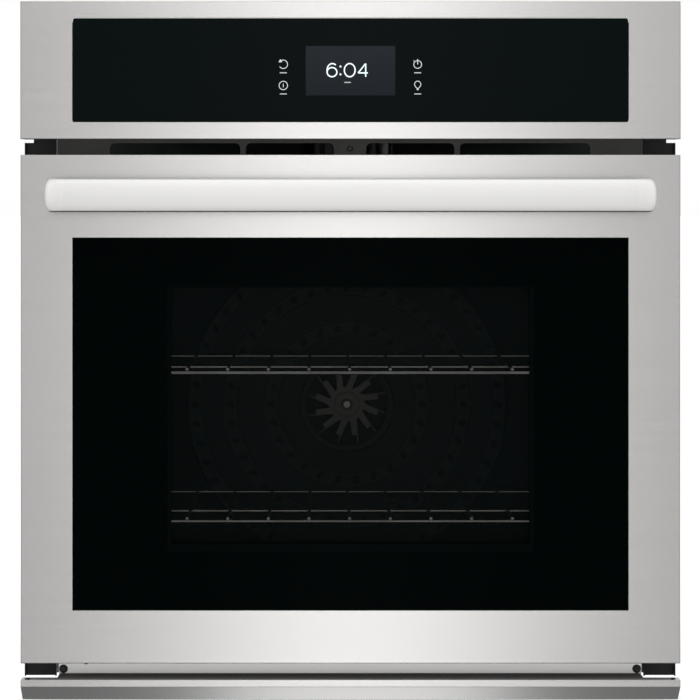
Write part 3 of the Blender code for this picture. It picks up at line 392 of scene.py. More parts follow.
def handle_stations():
    """Points of the bar's centre line in plan with the direction across it, left end to right."""
    bend_x = handle_high.x - HANDLE_OVAL[0] - HANDLE_TURN
    bend_y = handle_high.y - HANDLE_RUN
    slope = math.atan(2.0 * HANDLE_BOW / bend_x)
    right = [(bend_x + HANDLE_TURN, handle_high.y, 0.0)]
    right.append((bend_x + HANDLE_TURN, (handle_high.y + bend_y) / 2, 0.0))
    for i in range(TURN_STEPS + 1):
        turn = (math.pi / 2 - slope) * i / TURN_STEPS
        x = bend_x + HANDLE_TURN * math.cos(turn)
        right.append((x, bend_y - HANDLE_TURN * math.sin(turn), turn))
    x_end, y_end, _ = right[-1]
    for i in range(1, BOW_STEPS + 1):
        x = x_end * (1.0 - i / BOW_STEPS)
        lean = math.atan(2.0 * HANDLE_BOW * x / x_end**2)
        right.append((x, y_end - HANDLE_BOW * (1.0 - (x / x_end) ** 2), math.pi / 2 - lean))
    left = [(-x, y, math.pi - turn) for x, y, turn in reversed(right[:-1])]
    return right + left


def handle_painted_light_finish():
    """Finer steel than the door's, with painted light: lighter ends, darker towards the bottom, and a
    near-black painted shade along the underside.
    """
    finish = brushed("handle_steel", (0.61, 0.605, 0.60), 0.55, 0.50)
    x, z = finish.axes("XZ")
    # Painted highlight: outside the middle, the ends are painted lighter.
    middle = x.within(-HANDLE_PAINTED_HIGHLIGHT_X, HANDLE_PAINTED_HIGHLIGHT_X, 0.0220)
    tone = finish.blend(middle, (0.82, 0.81, 0.80), finish.tone())
    # Painted shade: the bar is darker towards the bottom.
    shade = finish.blend(middle, (0.66, 0.65, 0.64), (0.50, 0.495, 0.49))
    tone = finish.blend(z.step(HANDLE_CENTRE_Z - 0.014, HANDLE_CENTRE_Z + 0.012), shade, tone)
    # Painted shade: the last millimetre of the underside is near black.
    foot = HANDLE_CENTRE_Z - HANDLE_OVAL[1] + 0.0009
    tone = finish.blend(z.step(foot, foot + EDGE_SOFT), (0.030, 0.030, 0.030), tone)
    return finish.set(Base_Color=tone)


def wall_between(bm, ring_a, ring_b):
    """Closes two rings of points of one length with a band of faces."""
    for k in range(len(ring_a)):
        j = (k + 1) % len(ring_a)
        bm.faces.new((ring_a[k], ring_a[j], ring_b[j], ring_b[k]))


def powered(value, power):
    return math.copysign(abs(value) ** power, value)


def make_handle():
    bm = bmesh.new()
    rings = []
    for x, y, turn in handle_stations():
        across = Vector((math.cos(turn), -math.sin(turn), 0.0))
        squareness = 0.42 + 0.46 * abs(math.cos(turn)) ** 3
        ring = []
        for k in range(AROUND):
            a = 2.0 * math.pi * k / AROUND
            c, s = powered(math.cos(a), squareness), powered(math.sin(a), squareness)
            place = Vector((x, y, HANDLE_CENTRE_Z + HANDLE_OVAL[1] * s)) + across * (HANDLE_OVAL[0] * c)
            ring.append(bm.verts.new(place))
        rings.append(ring)
    for ring_a, ring_b in zip(rings, rings[1:]):
        wall_between(bm, ring_a, ring_b)
    for end in (rings[0], rings[-1]):
        bm.faces.new(end)
    bmesh.ops.recalc_face_normals(bm, faces=bm.faces)
    piece = as_piece("handle_bar_finished", bm, handle_painted_light_finish())
    joins(piece, "door", "brushed_steel", "handle_bar")


make_handle()


# ---- Control glass ----
# One sheet of black glass, printed from behind, flush in the steel frame. Behind its clear part
# lies a colour display; the keys beside it are printed marks that sense a touch.

glass_low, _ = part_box("control_glass")
screen_low, screen_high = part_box("display_module")
BLACK_GLASS = (0.0022, 0.0036, 0.0036)


def black_glass(name, gloss=0.007):
    return Finish(name, BLACK_GLASS, Roughness=0.18, Specular_IOR_Level=gloss, IOR=1.5)


def control_glass_finish():
    finish = black_glass("control_glass_black")
    x, z = finish.axes("XZ")
    across = x.within(screen_low.x, screen_high.x, EDGE_SOFT)
    screen = across * z.within(screen_low.z, screen_high.z, EDGE_SOFT)
    # The display's dark blue-grey, with painted light making it lighter towards the top.
    height = z.step(screen_low.z, screen_high.z)
    lit = finish.blend(height, (0.0100, 0.0118, 0.0150), (0.0140, 0.0160, 0.0195))
    return finish.set(Base_Color=finish.blend(screen, BLACK_GLASS, lit))


dressed("control_glass", control_glass_finish(), "black_glass", 0.0004)


def new_tree(name, **sizes):
    """A geometry node tree with a named input for each size, and the outputs of its input node."""
    tree = bpy.data.node_groups.new(name, "GeometryNodeTree")
    face = tree.interface
    face.new_socket("Geometry", in_out="OUTPUT", socket_type="NodeSocketGeometry")
    face.new_socket("Geometry", in_out="INPUT", socket_type="NodeSocketGeometry")
    for key, value in sizes.items():
        kind = {float: "NodeSocketFloat", int: "NodeSocketInt", tuple: "NodeSocketVector"}[type(value)]
        socket = face.new_socket(key.replace("_", " "), in_out="INPUT", socket_type=kind)
        socket.default_value = value
    face.new_socket("Material", in_out="INPUT", socket_type="NodeSocketMaterial")
    return tree, tree.nodes.new("NodeGroupInput").outputs


def tree_node(tree, kind, inputs, **settings):
    """Adds a node whose inputs are values, earlier outputs or lists of them; gives its output."""
    node = tree.nodes.new(kind if "Node" in kind else "GeometryNode" + kind)
    for key, value in settings.items():
        setattr(node, key, value)
    for key, value in inputs.items():
        for source in value if isinstance(value, list) else [value]:
            if isinstance(source, bpy.types.NodeSocket):
                tree.links.new(source, node.inputs[key])
            else:
                node.inputs[key].default_value = source
    return node.outputs[0]


def ended(tree, given, shape):
    """Makes a tree's instances real, sets its material and closes it."""
    real = tree_node(tree, "RealizeInstances", {"Geometry": shape})
    paint = tree_node(tree, "SetMaterial", {"Geometry": real, "Material": given["Material"]})
    tree.links.new(paint, tree.nodes.new("NodeGroupOutput").inputs["Geometry"])
    return tree


def wire_tree():
    """Every edge chain of a mesh becomes a round wire, which Flatness can press into a printed
    line lying at a depth along Y."""
    tree, given = new_tree("round_wire", Radius=0.001, Flatness=1.0, Depth=0.0, Sides=10)
    curve = tree_node(tree, "MeshToCurve", {"Mesh": given["Geometry"]})
    circle = {"Resolution": given["Sides"], "Radius": given["Radius"]}
    ring = tree_node(tree, "CurvePrimitiveCircle", circle)
    along = {"Curve": curve, "Profile Curve": ring, "Fill Caps": True}
    sweep = tree_node(tree, "CurveToMesh", along)
    scale = tree_node(tree, "ShaderNodeCombineXYZ", {"X": 1.0, "Y": given["Flatness"], "Z": 1.0})
    shift = tree_node(tree, "ShaderNodeCombineXYZ", {"Y": given["Depth"]})
    pressed = {"Geometry": sweep, "Translation": shift, "Scale": scale}
    return ended(tree, given, tree_node(tree, "Transform", pressed))


ROUND_WIRE = wire_tree()


def grown(piece, tree, **inputs):
    """Runs a geometry node tree on a piece and keeps the result as a plain mesh."""
    modifier = piece.modifiers.new(tree.name, "NODES")
    modifier.node_group = tree
    for item in tree.interface.items_tree:
        if item.in_out == "INPUT" and item.name.replace(" ", "_") in inputs:
            modifier[item.identifier] = inputs[item.name.replace(" ", "_")]
    piece.update_tag()
    baked(piece)
    bm = bmesh.new()
    bm.from_mesh(piece.data)
    bmesh.ops.recalc_face_normals(bm, faces=bm.faces)
    bm.to_mesh(piece.data)
    bm.free()
    piece.data.shade_smooth()
    piece.data.set_sharp_from_angle(angle=math.radians(50))
    return piece


def drawn(name, chains, **inputs):
    """Wires or printed lines along chains of points; a chain whose ends meet is a loop."""
    bm = bmesh.new()
    for chain in chains:
        closed = (Vector(chain[0]) - Vector(chain[-1])).length < 1e-7
        verts = [bm.verts.new(p) for p in (chain[:-1] if closed else chain)]
        for pair in list(zip(verts, verts[1:])) + ([(verts[-1], verts[0])] if closed else []):
            bm.edges.new(pair)
    return grown(as_object(name, as_mesh(name, bm)), ROUND_WIRE, **inputs)


def arc(x, z, rx, rz, start=0, end=360, steps=24):
    """Points on an ellipse about (x, z), from one angle to another in degrees."""
    turns = [math.radians(start + (end - start) * i / steps) for i in range(steps + 1)]
    return [(x + rx * math.cos(a), 0.0, z + rz * math.sin(a)) for a in turns]


PRINT_DEPTH = glass_low.y - 0.00003
PRINT_FLATNESS = 0.03
DIGIT_W = 0.0102
DIGIT_H = 0.0137
DIGIT_Z = 0.6331
DIGIT_LINE = 0.00068
SIX_X, COLON_X, ZERO_X, FOUR_X = -0.0192, -0.0104, -0.0008, 0.0130
SIX_BOWL = 0.0048
FOUR_STEM = 0.0028
FOUR_BAR = 0.0040
COLON_R = 0.0004


def digit_strokes():
    """6:04 in thin strokes, as a clock shows it before it is set by its owner."""
    half_w, half_h = DIGIT_W / 2, DIGIT_H / 2
    low = DIGIT_Z - half_h
    strokes = [arc(SIX_X, low + SIX_BOWL, half_w, SIX_BOWL)]
    strokes.append(arc(SIX_X + 0.0004, DIGIT_Z, half_w + 0.0004, half_h, 50, 196, 20))
    strokes.append(arc(ZERO_X, DIGIT_Z, half_w + 0.0005, half_h, steps=32))
    foot = (FOUR_X + FOUR_STEM, 0.0, low)
    top = (FOUR_X + FOUR_STEM, 0.0, DIGIT_Z + half_h)
    left = (FOUR_X - half_w, 0.0, low + FOUR_BAR)
    right = (FOUR_X + half_w, 0.0, low + FOUR_BAR)
    strokes += [[foot, top], [top, left], [left, right]]
    for z in (DIGIT_Z + 0.0038, DIGIT_Z - 0.0044):
        strokes.append(arc(COLON_X, z, COLON_R, COLON_R, steps=8))
    return strokes


def glow(name, colour, strength):
    grey = (0.3, 0.3, 0.3)
    return Finish(name, grey, Emission_Color=(*colour, 1.0), Emission_Strength=strength).material


def print_on_glass(name, strokes, ink, line):
    size = {"Radius": line, "Flatness": PRINT_FLATNESS, "Depth": PRINT_DEPTH, "Sides": 8}
    piece = drawn(name, strokes, Material=ink, **size)
    joins(piece, body_of_node("control_glass"), "screen")


clock_light = glow("display_light", (0.62, 0.80, 0.90), 0.86)
print_on_glass("display_digits", digit_strokes(), clock_light, DIGIT_LINE)

ICON_X = 0.0698
ICON_Z = (0.6392, 0.6172)
ICON_R = 0.0044


def icon_strokes():
    """Four plain symbols: a returning arrow, a ring with a bar, a stopwatch and a bulb."""
    high, low = ICON_Z
    left, right = -ICON_X, ICON_X
    r = ICON_R
    strokes = [arc(left, high, r, r, 128, -148)]
    tip_x, tip_z = left - r * 0.70, high + r * 0.72
    head = [(tip_x, 0.0, tip_z + 0.0018), (tip_x - 0.0013, 0.0, tip_z - 0.0008)]
    head.append((tip_x + 0.0016, 0.0, tip_z - 0.0006))
    strokes += [head[:2], head[1:], [head[2], head[0]], [head[0], (tip_x, 0.0, tip_z - 0.0004)]]
    strokes.append(arc(left, low, r, r))
    strokes.append([(left, 0.0, low - 0.0018), (left, 0.0, low + 0.0018)])
    strokes.append(arc(right, high - 0.0002, r * 0.92, r * 0.92))
    strokes.append([(right, 0.0, high - 0.0002), (right, 0.0, high + r + 0.0010)])
    strokes.append([(right - 0.0042, 0.0, high + 0.0038), (right - 0.0034, 0.0, high + 0.0030)])
    bulb = arc(right, low + 0.0012, r * 0.74, r * 0.76, -38, 218)
    stem = (right + 0.0011, 0.0, low - 0.0028)
    strokes.append([stem] + bulb + [(right - 0.0011, 0.0, low - 0.0028)])
    for drop in (0.0030, 0.0038, 0.0044):
        strokes.append([(right - 0.0009, 0.0, low - drop), (right + 0.0009, 0.0, low - drop)])
    return strokes


def label_strokes():
    """A short dash under each symbol and under the clock, in place of a word."""
    marks = [(x, z - 0.0088, 0.0036) for x in (-ICON_X, ICON_X) for z in ICON_Z]
    marks.append((-0.0030, 0.6204, 0.0034))
    return [[(x - half, 0.0, z), (x + half, 0.0, z)] for x, z, half in marks]


# The key symbols and marks are white and grey print; their glow is painted light, as the print is no
# lamp.
white_print = glow("white_print", (0.80, 0.84, 0.86), 0.40)
grey_print = glow("grey_print", (0.6, 0.64, 0.66), 0.20)
print_on_glass("key_symbols", icon_strokes(), white_print, 0.00036)
print_on_glass("key_marks", label_strokes(), grey_print, 0.00050)


# ---- Door glass ----
# The outer sheet is black-printed all round a clear window; two clear sheets behind it keep the
# front cool. The window is tinted, so the cavity shows only dimly through it.

WINDOW_X = 0.1860
WINDOW_Z = (0.1410, 0.4070)
WINDOW_CLEAR = 0.80
WINDOW_SOFT = 0.0006
VEIL_SIDE, VEIL_BELOW, VEIL_ABOVE = 0.004, 0.008, 0.001


def door_glass_finish():
    """Black, with a slightly paler veil of print that shows round the clear window."""
    finish = black_glass("door_glass_black", 0.003)
    x, z = finish.axes("XZ")
    window = x.within(-WINDOW_X, WINDOW_X, WINDOW_SOFT) * z.within(*WINDOW_Z, WINDOW_SOFT)
    across = x.within(-WINDOW_X - VEIL_SIDE, WINDOW_X + VEIL_SIDE, WINDOW_SOFT)
    veiled = across * z.within(WINDOW_Z[0] - VEIL_BELOW, WINDOW_Z[1] + VEIL_ABOVE, WINDOW_SOFT)
    tone = finish.blend(veiled, (0.0003, 0.0010, 0.0009), (0.0008, 0.0016, 0.0015))
    return finish.set(Base_Color=tone, Alpha=1 - window * WINDOW_CLEAR)


dressed("door_outer_glass", door_glass_finish(), "black_glass", 0.0006)

clear_sheet = Finish(
    "clear_glass", (0.02, 0.03, 0.03), Roughness=0.22, Alpha=0.03, Specular_IOR_Level=0.10
).material
dressed("door_middle_glass", clear_sheet, "clear_glass", 0.0006)
dressed("door_inner_glass", clear_sheet, "clear_glass", 0.0006)


# ---- Oven cavity ----
# Deep-drawn steel covered in blue-black enamel with fine pale flecks, the rack ribs pressed in.
# The frame round its mouth and the pan inside the door are enamelled with it.

ENAMEL = (0.0125, 0.0145, 0.0165)


def cavity_enamel_finish():
    finish = Finish("cavity_enamel", ENAMEL, Roughness=0.42, Specular_IOR_Level=0.28)
    flecks = finish.node("TexVoronoi", {}, {"Vector": finish.coords, "Scale": 420.0}, "Distance")
    gate = finish.grain(230.0, detail=1.0)
    spots = (1 - flecks.step(0.10, 0.17)) * gate.step(0.50, 0.56)
    peel = finish.grain(160.0, detail=2.0)
    return finish.set(
        Base_Color=finish.blend(spots, ENAMEL, (0.10, 0.11, 0.12)),
        Roughness=peel * 0.08 + 0.40,
        Normal=finish.bump(peel, 0.03, 0.0002),
    )


cavity_enamel = cavity_enamel_finish()
dressed("oven_liner", cavity_enamel, "enamel", 0.0009, 3)
dressed("front_frame", cavity_enamel, "enamel")
dressed("door_liner", cavity_enamel, "enamel", 0.0005)


# ---- Racks ----
# Chromed steel wire, welded: a heavy rail all round, bent tighter at the front, one heavy cross
# wire, and lengthwise wires on top that run out straight over the front rail.

RACK_WIRE_R = 0.00165
RACK_RAIL_R = 0.0024
RACK_WIRES = 11
RACK_PITCH = 0.0434
RACK_CROSS_Y = 0.130
RACK_CORNERS = (0.010, 0.030)
RACK_OVERHANG = 0.0016


def rack_rail(side, front, rear, z, steps=6):
    corners = ((side, front, -90), (side, rear, 0), (-side, rear, 90), (-side, front, 180))
    points = []
    for x, y, start in corners:
        radius = RACK_CORNERS[y == rear]
        cx, cy = x - math.copysign(radius, x), y - math.copysign(radius, y - (front + rear) / 2)
        for i in range(steps + 1):
            a = math.radians(start + 90.0 * i / steps)
            points.append((cx + radius * math.cos(a), cy + radius * math.sin(a), z))
    return points + points[:1]


def make_rack(node, material):
    low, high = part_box(node)
    z = (low.z + high.z) / 2
    rail = RACK_RAIL_R
    front, rear = low.y + rail, high.y - rail
    side = high.x - rail
    cross = [(x, front + RACK_CROSS_Y, z - 0.0002) for x in (-side, side)]
    rails = [rack_rail(side, front, rear, z), cross]
    top = z + rail + RACK_WIRE_R
    wires = []
    for i in range(RACK_WIRES):
        x = RACK_PITCH * (i - (RACK_WIRES - 1) / 2)
        wires.append([(x, rear, top), (x, front - RACK_OVERHANG, top - 0.0006)])
    heavy = drawn(f"{node}_rails", rails, Radius=rail, Sides=14, Material=material)
    light = drawn(f"{node}_wires", wires, Radius=RACK_WIRE_R, Material=material)
    joins(heavy, body_of_node(node), "chrome_wire", node)
    joins(light, body_of_node(node), "chrome_wire")


def rack_chrome():
    finish = Finish("rack_chrome", (0.62, 0.61, 0.59), Metallic=1.0, Roughness=0.18)
    film = finish.grain(30.0, detail=2.0)
    return finish.set(
        Base_Color=finish.blend(film.step(0.35, 0.7), (0.66, 0.65, 0.63), (0.50, 0.48, 0.44)),
        Roughness=film * 0.12 + 0.12,
    )


chrome = rack_chrome()
make_rack("rack_upper", chrome)
make_rack("rack_lower", chrome)


# ---- Convection fan and its cover ----
# Behind a dished, enamelled cover with three raised bands of oval outlets, a pressed wheel turns
# on the motor shaft and draws the air in through the mouth in the middle of the cover.

cover_low, cover_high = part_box("fan_cover")
FAN_X, FAN_Z = 0.0, (cover_low.z + cover_high.z) / 2
COVER_WALL = 0.0008
COVER_DISH = 0.0016
COVER_MOUTH = (0.0470, 0.0545)
COVER_BANDS = ((0.081, 0.097, 26), (0.129, 0.145, 40), (0.171, 0.186, 48))
OUTLET_LENGTH = 0.0105
OUTLET_WIDTH = 0.0068
OUTLET_LEAN = math.radians(28.0)


def aimed(tree):
    """The turn that lays Z along the "aim" of each point."""
    aim = tree_node(tree, "InputNamedAttribute", {"Name": "aim"}, data_type="FLOAT_VECTOR")
    return tree_node(tree, "FunctionNodeAlignRotationToVector", {"Vector": aim}, axis="Z")


def peg_tree():
    """On every point stands an oval peg along its aim, turned about it by its turn in radians."""
    tree, given = new_tree("oval_pegs", Length=0.01, Width=0.005, Depth=0.005, Corner_Steps=6)
    sides = {"Width": given["Length"], "Height": given["Width"]}
    outline = tree_node(tree, "CurvePrimitiveQuadrilateral", sides)
    half = tree_node(tree, "ShaderNodeMath", {0: given["Width"], 1: 0.499}, operation="MULTIPLY")
    round_off = {"Curve": outline, "Count": given["Corner Steps"], "Radius": half, "Limit Radius": True}
    corner = tree_node(tree, "FilletCurve", round_off, mode="POLY")
    fill = tree_node(tree, "FillCurve", {"Curve": corner}, mode="NGONS")
    rise = {"Mesh": fill, "Offset Scale": given["Depth"], "Individual": False}
    raised = tree_node(tree, "ExtrudeMesh", rise)
    base = tree_node(tree, "FlipFaces", {"Mesh": fill})
    both = tree_node(tree, "JoinGeometry", {"Geometry": [raised, base]})
    weld = tree_node(tree, "MergeByDistance", {"Geometry": both, "Distance": 1e-6})
    turn = tree_node(tree, "InputNamedAttribute", {"Name": "turn"})
    angle = tree_node(tree, "FunctionNodeAxisAngleToRotation", {"Angle": turn})
    turns = {"Rotation": aimed(tree), "Rotate By": angle}
    spin = tree_node(tree, "FunctionNodeRotateRotation", turns, rotation_space="LOCAL")
    stand = {"Points": given["Geometry"], "Instance": weld, "Rotation": spin}
    return ended(tree, given, tree_node(tree, "InstanceOnPoints", stand))


OVAL_PEGS = peg_tree()


def on_points(name, tree, places, **inputs):
    """Runs a tree on loose points; each place is (point, aim, turn)."""
    mesh = bpy.data.meshes.new(name)
    mesh.from_pydata([p for p, _, _ in places], [], [])
    mesh.attributes.new("aim", "FLOAT_VECTOR", "POINT")
    mesh.attributes.new("turn", "FLOAT", "POINT")
    for i, (_, aim, turn) in enumerate(places):
        mesh.attributes["aim"].data[i].vector = aim
        mesh.attributes["turn"].data[i].value = turn
    return grown(as_object(name, mesh), tree, **inputs)


def turned(name, profile, material, steps):
    """A closed body of revolution on the fan's axis; the profile is a loop of (radius, y)."""
    bm = bmesh.new()
    rings = []
    for radius, y in profile:
        ring = []
        for k in range(steps):
            a = 2.0 * math.pi * k / steps
            place = (FAN_X + radius * math.cos(a), y, FAN_Z + radius * math.sin(a))
            ring.append(bm.verts.new(place))
        rings.append(ring)
    for ring_a, ring_b in zip(rings, rings[1:] + rings[:1]):
        wall_between(bm, ring_a, ring_b)
    bmesh.ops.remove_doubles(bm, verts=bm.verts, dist=1e-7)
    bmesh.ops.recalc_face_normals(bm, faces=bm.faces)
    return as_piece(name, bm, material)


def cut_by(piece, cutter):
    """Cuts one piece by another, which is then removed."""
    cut = piece.modifiers.new("cut", "BOOLEAN")
    cut.object = cutter
    cut.solver = "EXACT"
    baked(piece)
    bpy.data.objects.remove(cutter)
    piece.data.set_sharp_from_angle(angle=math.radians(35))


def cover_enamel():
    """Enamel painted a shade lighter on the raised bands, as a painted highlight along them."""
    finish = Finish("cover_enamel", ENAMEL, Roughness=0.42, Specular_IOR_Level=0.28)
    x, z = finish.axes("XZ")
    radius = ((x - FAN_X) * (x - FAN_X) + (z - FAN_Z) * (z - FAN_Z)).maths("SQRT")
    raised = radius.within(COVER_MOUTH[0] + 0.0015, COVER_MOUTH[1], 0.0006)
    for inner, rim, _ in COVER_BANDS:
        raised = raised + radius.within(inner, rim, 0.0008)
    mottle = finish.grain(45.0)
    # Painted highlight on the raised bands, broken up by the mottle.
    painted_band_highlight = raised * (mottle * 0.8 + 0.4)
    return finish.set(
        Base_Color=finish.blend(painted_band_highlight.step(0.0, 1.0), (0.0125, 0.0145, 0.0160), (0.040, 0.042, 0.042)),
        Roughness=mottle * 0.10 + 0.38,
    )


def make_fan_cover():
    face_y = cover_low.y
    outer = (cover_high.x - cover_low.x) / 2
    dish = face_y + COVER_DISH
    mouth, lip = COVER_MOUTH
    front = [(mouth, face_y + 0.0030), (mouth + 0.0004, face_y + 0.0006), (mouth + 0.0020, face_y)]
    front += [(lip, face_y), (lip + 0.0015, dish)]
    for inner, rim, _ in COVER_BANDS:
        front += [(inner - 0.0008, dish), (inner + 0.0006, face_y + 0.0002)]
        front += [(rim - 0.0006, face_y + 0.0002), (min(rim + 0.0008, outer - 0.0016), dish)]
    front += [(outer - 0.0010, dish + 0.0003), (outer, dish + 0.0014), (outer, cover_high.y)]
    back = [(max(r - COVER_WALL, mouth + 0.0008), y + COVER_WALL) for r, y in reversed(front[:-1])]
    profile = front + [(outer - COVER_WALL, cover_high.y)] + back
    cover = turned("fan_cover_finished", profile, cover_enamel(), 144)
    places = []
    for inner, rim, count in COVER_BANDS:
        middle = (inner + rim) / 2
        for i in range(count):
            a = 2.0 * math.pi * i / count
            spot = (FAN_X + middle * math.cos(a), face_y - 0.003, FAN_Z + middle * math.sin(a))
            places.append((spot, (0.0, 1.0, 0.0), -a + OUTLET_LEAN))
    size = {"Length": OUTLET_LENGTH, "Width": OUTLET_WIDTH, "Depth": 0.010, "Corner_Steps": 5}
    cut_by(cover, on_points("outlets", OVAL_PEGS, places, **size))
    joins(cover, "chassis", "enamel", "fan_cover")


make_fan_cover()


def bare_metal(name, colour, roughness=0.40, metallic=1.0, cloud_scale=40.0):
    """Rolled or machined metal: faint cloudiness in tone and polish."""
    finish = Finish(name, colour, Metallic=metallic, Roughness=roughness)
    cloud = finish.grain(cloud_scale, detail=4.0)
    return finish.set(
        Base_Color=finish.blend(cloud.step(0.3, 0.7), *shades(colour, 0.82, 1.12)),
        Roughness=cloud * 0.16 + (roughness - 0.08),
    )


wheel_metal = bare_metal("aluminised_steel", (0.21, 0.185, 0.175), 0.42, 0.85)
machined = bare_metal("machined_steel", (0.52, 0.50, 0.48), 0.28)
WHEEL_FINGERS = 12
WHEEL_SHEET = 0.0010
FINGER_LEAN = math.radians(-24.0)
FINGER_ROOT = 0.0150
FINGER_LENGTH = 0.0235
BLADE_LENGTH = 0.0455


def make_fan_wheel():
    """A stamped wheel: a ribbed disc whose flat fingers are bent back into blades."""
    low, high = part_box("fan_wheel")
    y, sheet, back = low.y + 0.0002, WHEEL_SHEET, high.y - 0.0002
    disc = [(0.0042, y), (0.0054, y), (0.0058, y + 0.0008), (0.0066, y + 0.0008), (0.0070, y)]
    disc += [(0.0136, y), (0.0141, y + 0.0008), (0.0150, y + 0.0008), (0.0155, y), (0.0205, y)]
    disc += [(0.0205, y + sheet), (0.0080, y + 2 * sheet), (0.0072, back), (0.0042, back)]
    hub = turned("fan_hub_finished", disc, wheel_metal, 60)
    joins(hub, body_of_node("fan_wheel"), "zinc_steel", "fan_wheel")
    bm = bmesh.new()
    for i in range(WHEEL_FINGERS):
        a = 2.0 * math.pi * i / WHEEL_FINGERS
        out = Vector((math.cos(a + FINGER_LEAN), 0.0, math.sin(a + FINGER_LEAN)))
        side = Vector((-out.z, 0.0, out.x))
        root = Vector((FAN_X, 0.0, FAN_Z)) + Vector((math.cos(a), 0.0, math.sin(a))) * FINGER_ROOT
        tips = ((0, -0.0044), (FINGER_LENGTH, -0.0036), (FINGER_LENGTH, 0.0028), (0, 0.0040))
        finger = [root + side * w + out * r for r, w in tips]
        edge = [root + side * w + out * r for r, w in ((0.008, 0.0038), (BLADE_LENGTH, 0.0024))]
        blade = edge + [edge[1] - side * sheet, edge[0] - side * sheet]
        for outline, near, far in ((finger, y + 0.0003, y + sheet), (blade, y + 0.0003, back)):
            rings = [[bm.verts.new((p.x, depth, p.z)) for p in outline] for depth in (near, far)]
            for ring in rings:
                bm.faces.new(ring)
            wall_between(bm, *rings)
    bmesh.ops.recalc_face_normals(bm, faces=bm.faces)
    joins(as_piece("fan_blades_finished", bm, wheel_metal), body_of_node("fan_wheel"), "zinc_steel")


make_fan_wheel()
nut_steel = bare_metal("nut_steel", (0.16, 0.15, 0.145), 0.45)
motor_steel = bare_metal("motor_steel", (0.42, 0.42, 0.43), 0.38)
dressed("fan_nut", nut_steel, "zinc_steel", 0.0005, 3)
dressed("fan_shaft", machined, "zinc_steel")
dressed("fan_motor", motor_steel, "zinc_steel", 0.0006)


# ---- Heating elements, lamp and probe ----
# Tubular elements in a dark oxidised sheath. The lamp sits behind a moulded glass lens, and the
# probe is a thin polished rod through a small flange.

sheath = bare_metal("element_sheath", (0.085, 0.078, 0.072), 0.48, 0.7, 90.0)
dressed("broil_element", sheath, "heater", 0)
dressed("bake_element", sheath, "heater", 0)
LENS_RIPPLE = 900.0


def lens_finish():
    finish = Finish("lamp_glass", (0.62, 0.66, 0.66), Roughness=0.12, Alpha=0.55)
    x, z = finish.axes("XZ")
    ripple = (x * LENS_RIPPLE).maths("SINE") * (z * LENS_RIPPLE).maths("SINE")
    return finish.set(Normal=finish.bump(ripple, 0.25, 0.0005))


dressed("lamp_lens", lens_finish(), "clear_glass", 0.0008, 3)
bulb_glass = Finish("bulb_glass", (0.80, 0.80, 0.76), Roughness=0.08, Alpha=0.45).material
dressed("lamp_bulb", bulb_glass, "clear_glass", 0)


def ceramic_finish():
    finish = Finish("white_ceramic", (0.72, 0.70, 0.66), Roughness=0.5)
    grit = finish.grain(300.0)
    tone = finish.blend(grit.step(0.35, 0.65), (0.66, 0.64, 0.60), (0.76, 0.74, 0.70))
    return finish.set(Base_Color=tone, Normal=finish.bump(grit, 0.1, 0.0003))


dressed("lamp_socket", ceramic_finish(), "ceramic", 0.0006)
dressed("temperature_probe", machined, "zinc_steel", 0.0002)


# ---- Vent plate and side trims ----
# Black-painted sheet steel. The plate closes the gap over the door, where the cooling air blows
# out through four long slots; the trims cover the cabinet edges and take the fixing screws.


def painted(name, colour, roughness=0.46):
    """Baked powder paint with a fine orange peel."""
    finish = Finish(name, colour, Roughness=roughness, Specular_IOR_Level=0.35)
    peel = finish.grain(420.0, detail=2.0)
    cloud = finish.grain(18.0, detail=2.0)
    return finish.set(
        Base_Color=finish.blend(cloud.step(0.35, 0.65), *shades(colour, 1.0, 1.25)),
        Roughness=peel * 0.12 + (roughness - 0.06),
        Normal=finish.bump(peel, 0.10, 0.0002),
    )


vent_paint = painted("vent_paint", (0.046, 0.043, 0.040))
trim_paint = painted("trim_paint", (0.0052, 0.0050, 0.0050), 0.55)
dressed("vent_plate", vent_paint, "black_paint")
dressed("side_trim_left", trim_paint, "black_paint")
dressed("side_trim_right", trim_paint, "black_paint")

SCREW_DRIVE = 0.42
SCREW_DRIVE_DEPTH = 0.55


def screw_tree():
    """On every point a domed pan head with a flange and a six-sided socket."""
    tree, given = new_tree("pan_screws", Radius=0.004, Height=0.002)

    def share(size, factor):
        return tree_node(tree, "ShaderNodeMath", {0: given[size], 1: factor}, operation="MULTIPLY")

    def disc(bottom, top, height, middle, sides):
        """A disc whose sizes are shares of the screw's radius and height."""
        size = {"Vertices": sides, "Radius Bottom": share("Radius", bottom)}
        size |= {"Radius Top": share("Radius", top), "Depth": share("Height", height)}
        cone = tree_node(tree, "MeshCone", size)
        place = tree_node(tree, "ShaderNodeCombineXYZ", {"Z": share("Height", middle)})
        return tree_node(tree, "Transform", {"Geometry": cone, "Translation": place})

    flange = disc(1.0, 0.94, 0.30, 0.0, 28)
    dome = disc(0.80, 0.56, 0.75, 0.25, 28)
    socket = disc(SCREW_DRIVE, SCREW_DRIVE, 1.2, 1.0 - SCREW_DRIVE_DEPTH, 6)
    whole = tree_node(tree, "MeshBoolean", {1: [flange, dome]}, operation="UNION")
    cut = tree_node(tree, "MeshBoolean", {0: whole, 1: socket}, operation="DIFFERENCE")
    stand = {"Points": given["Geometry"], "Instance": cut, "Rotation": aimed(tree)}
    return ended(tree, given, tree_node(tree, "InstanceOnPoints", stand))


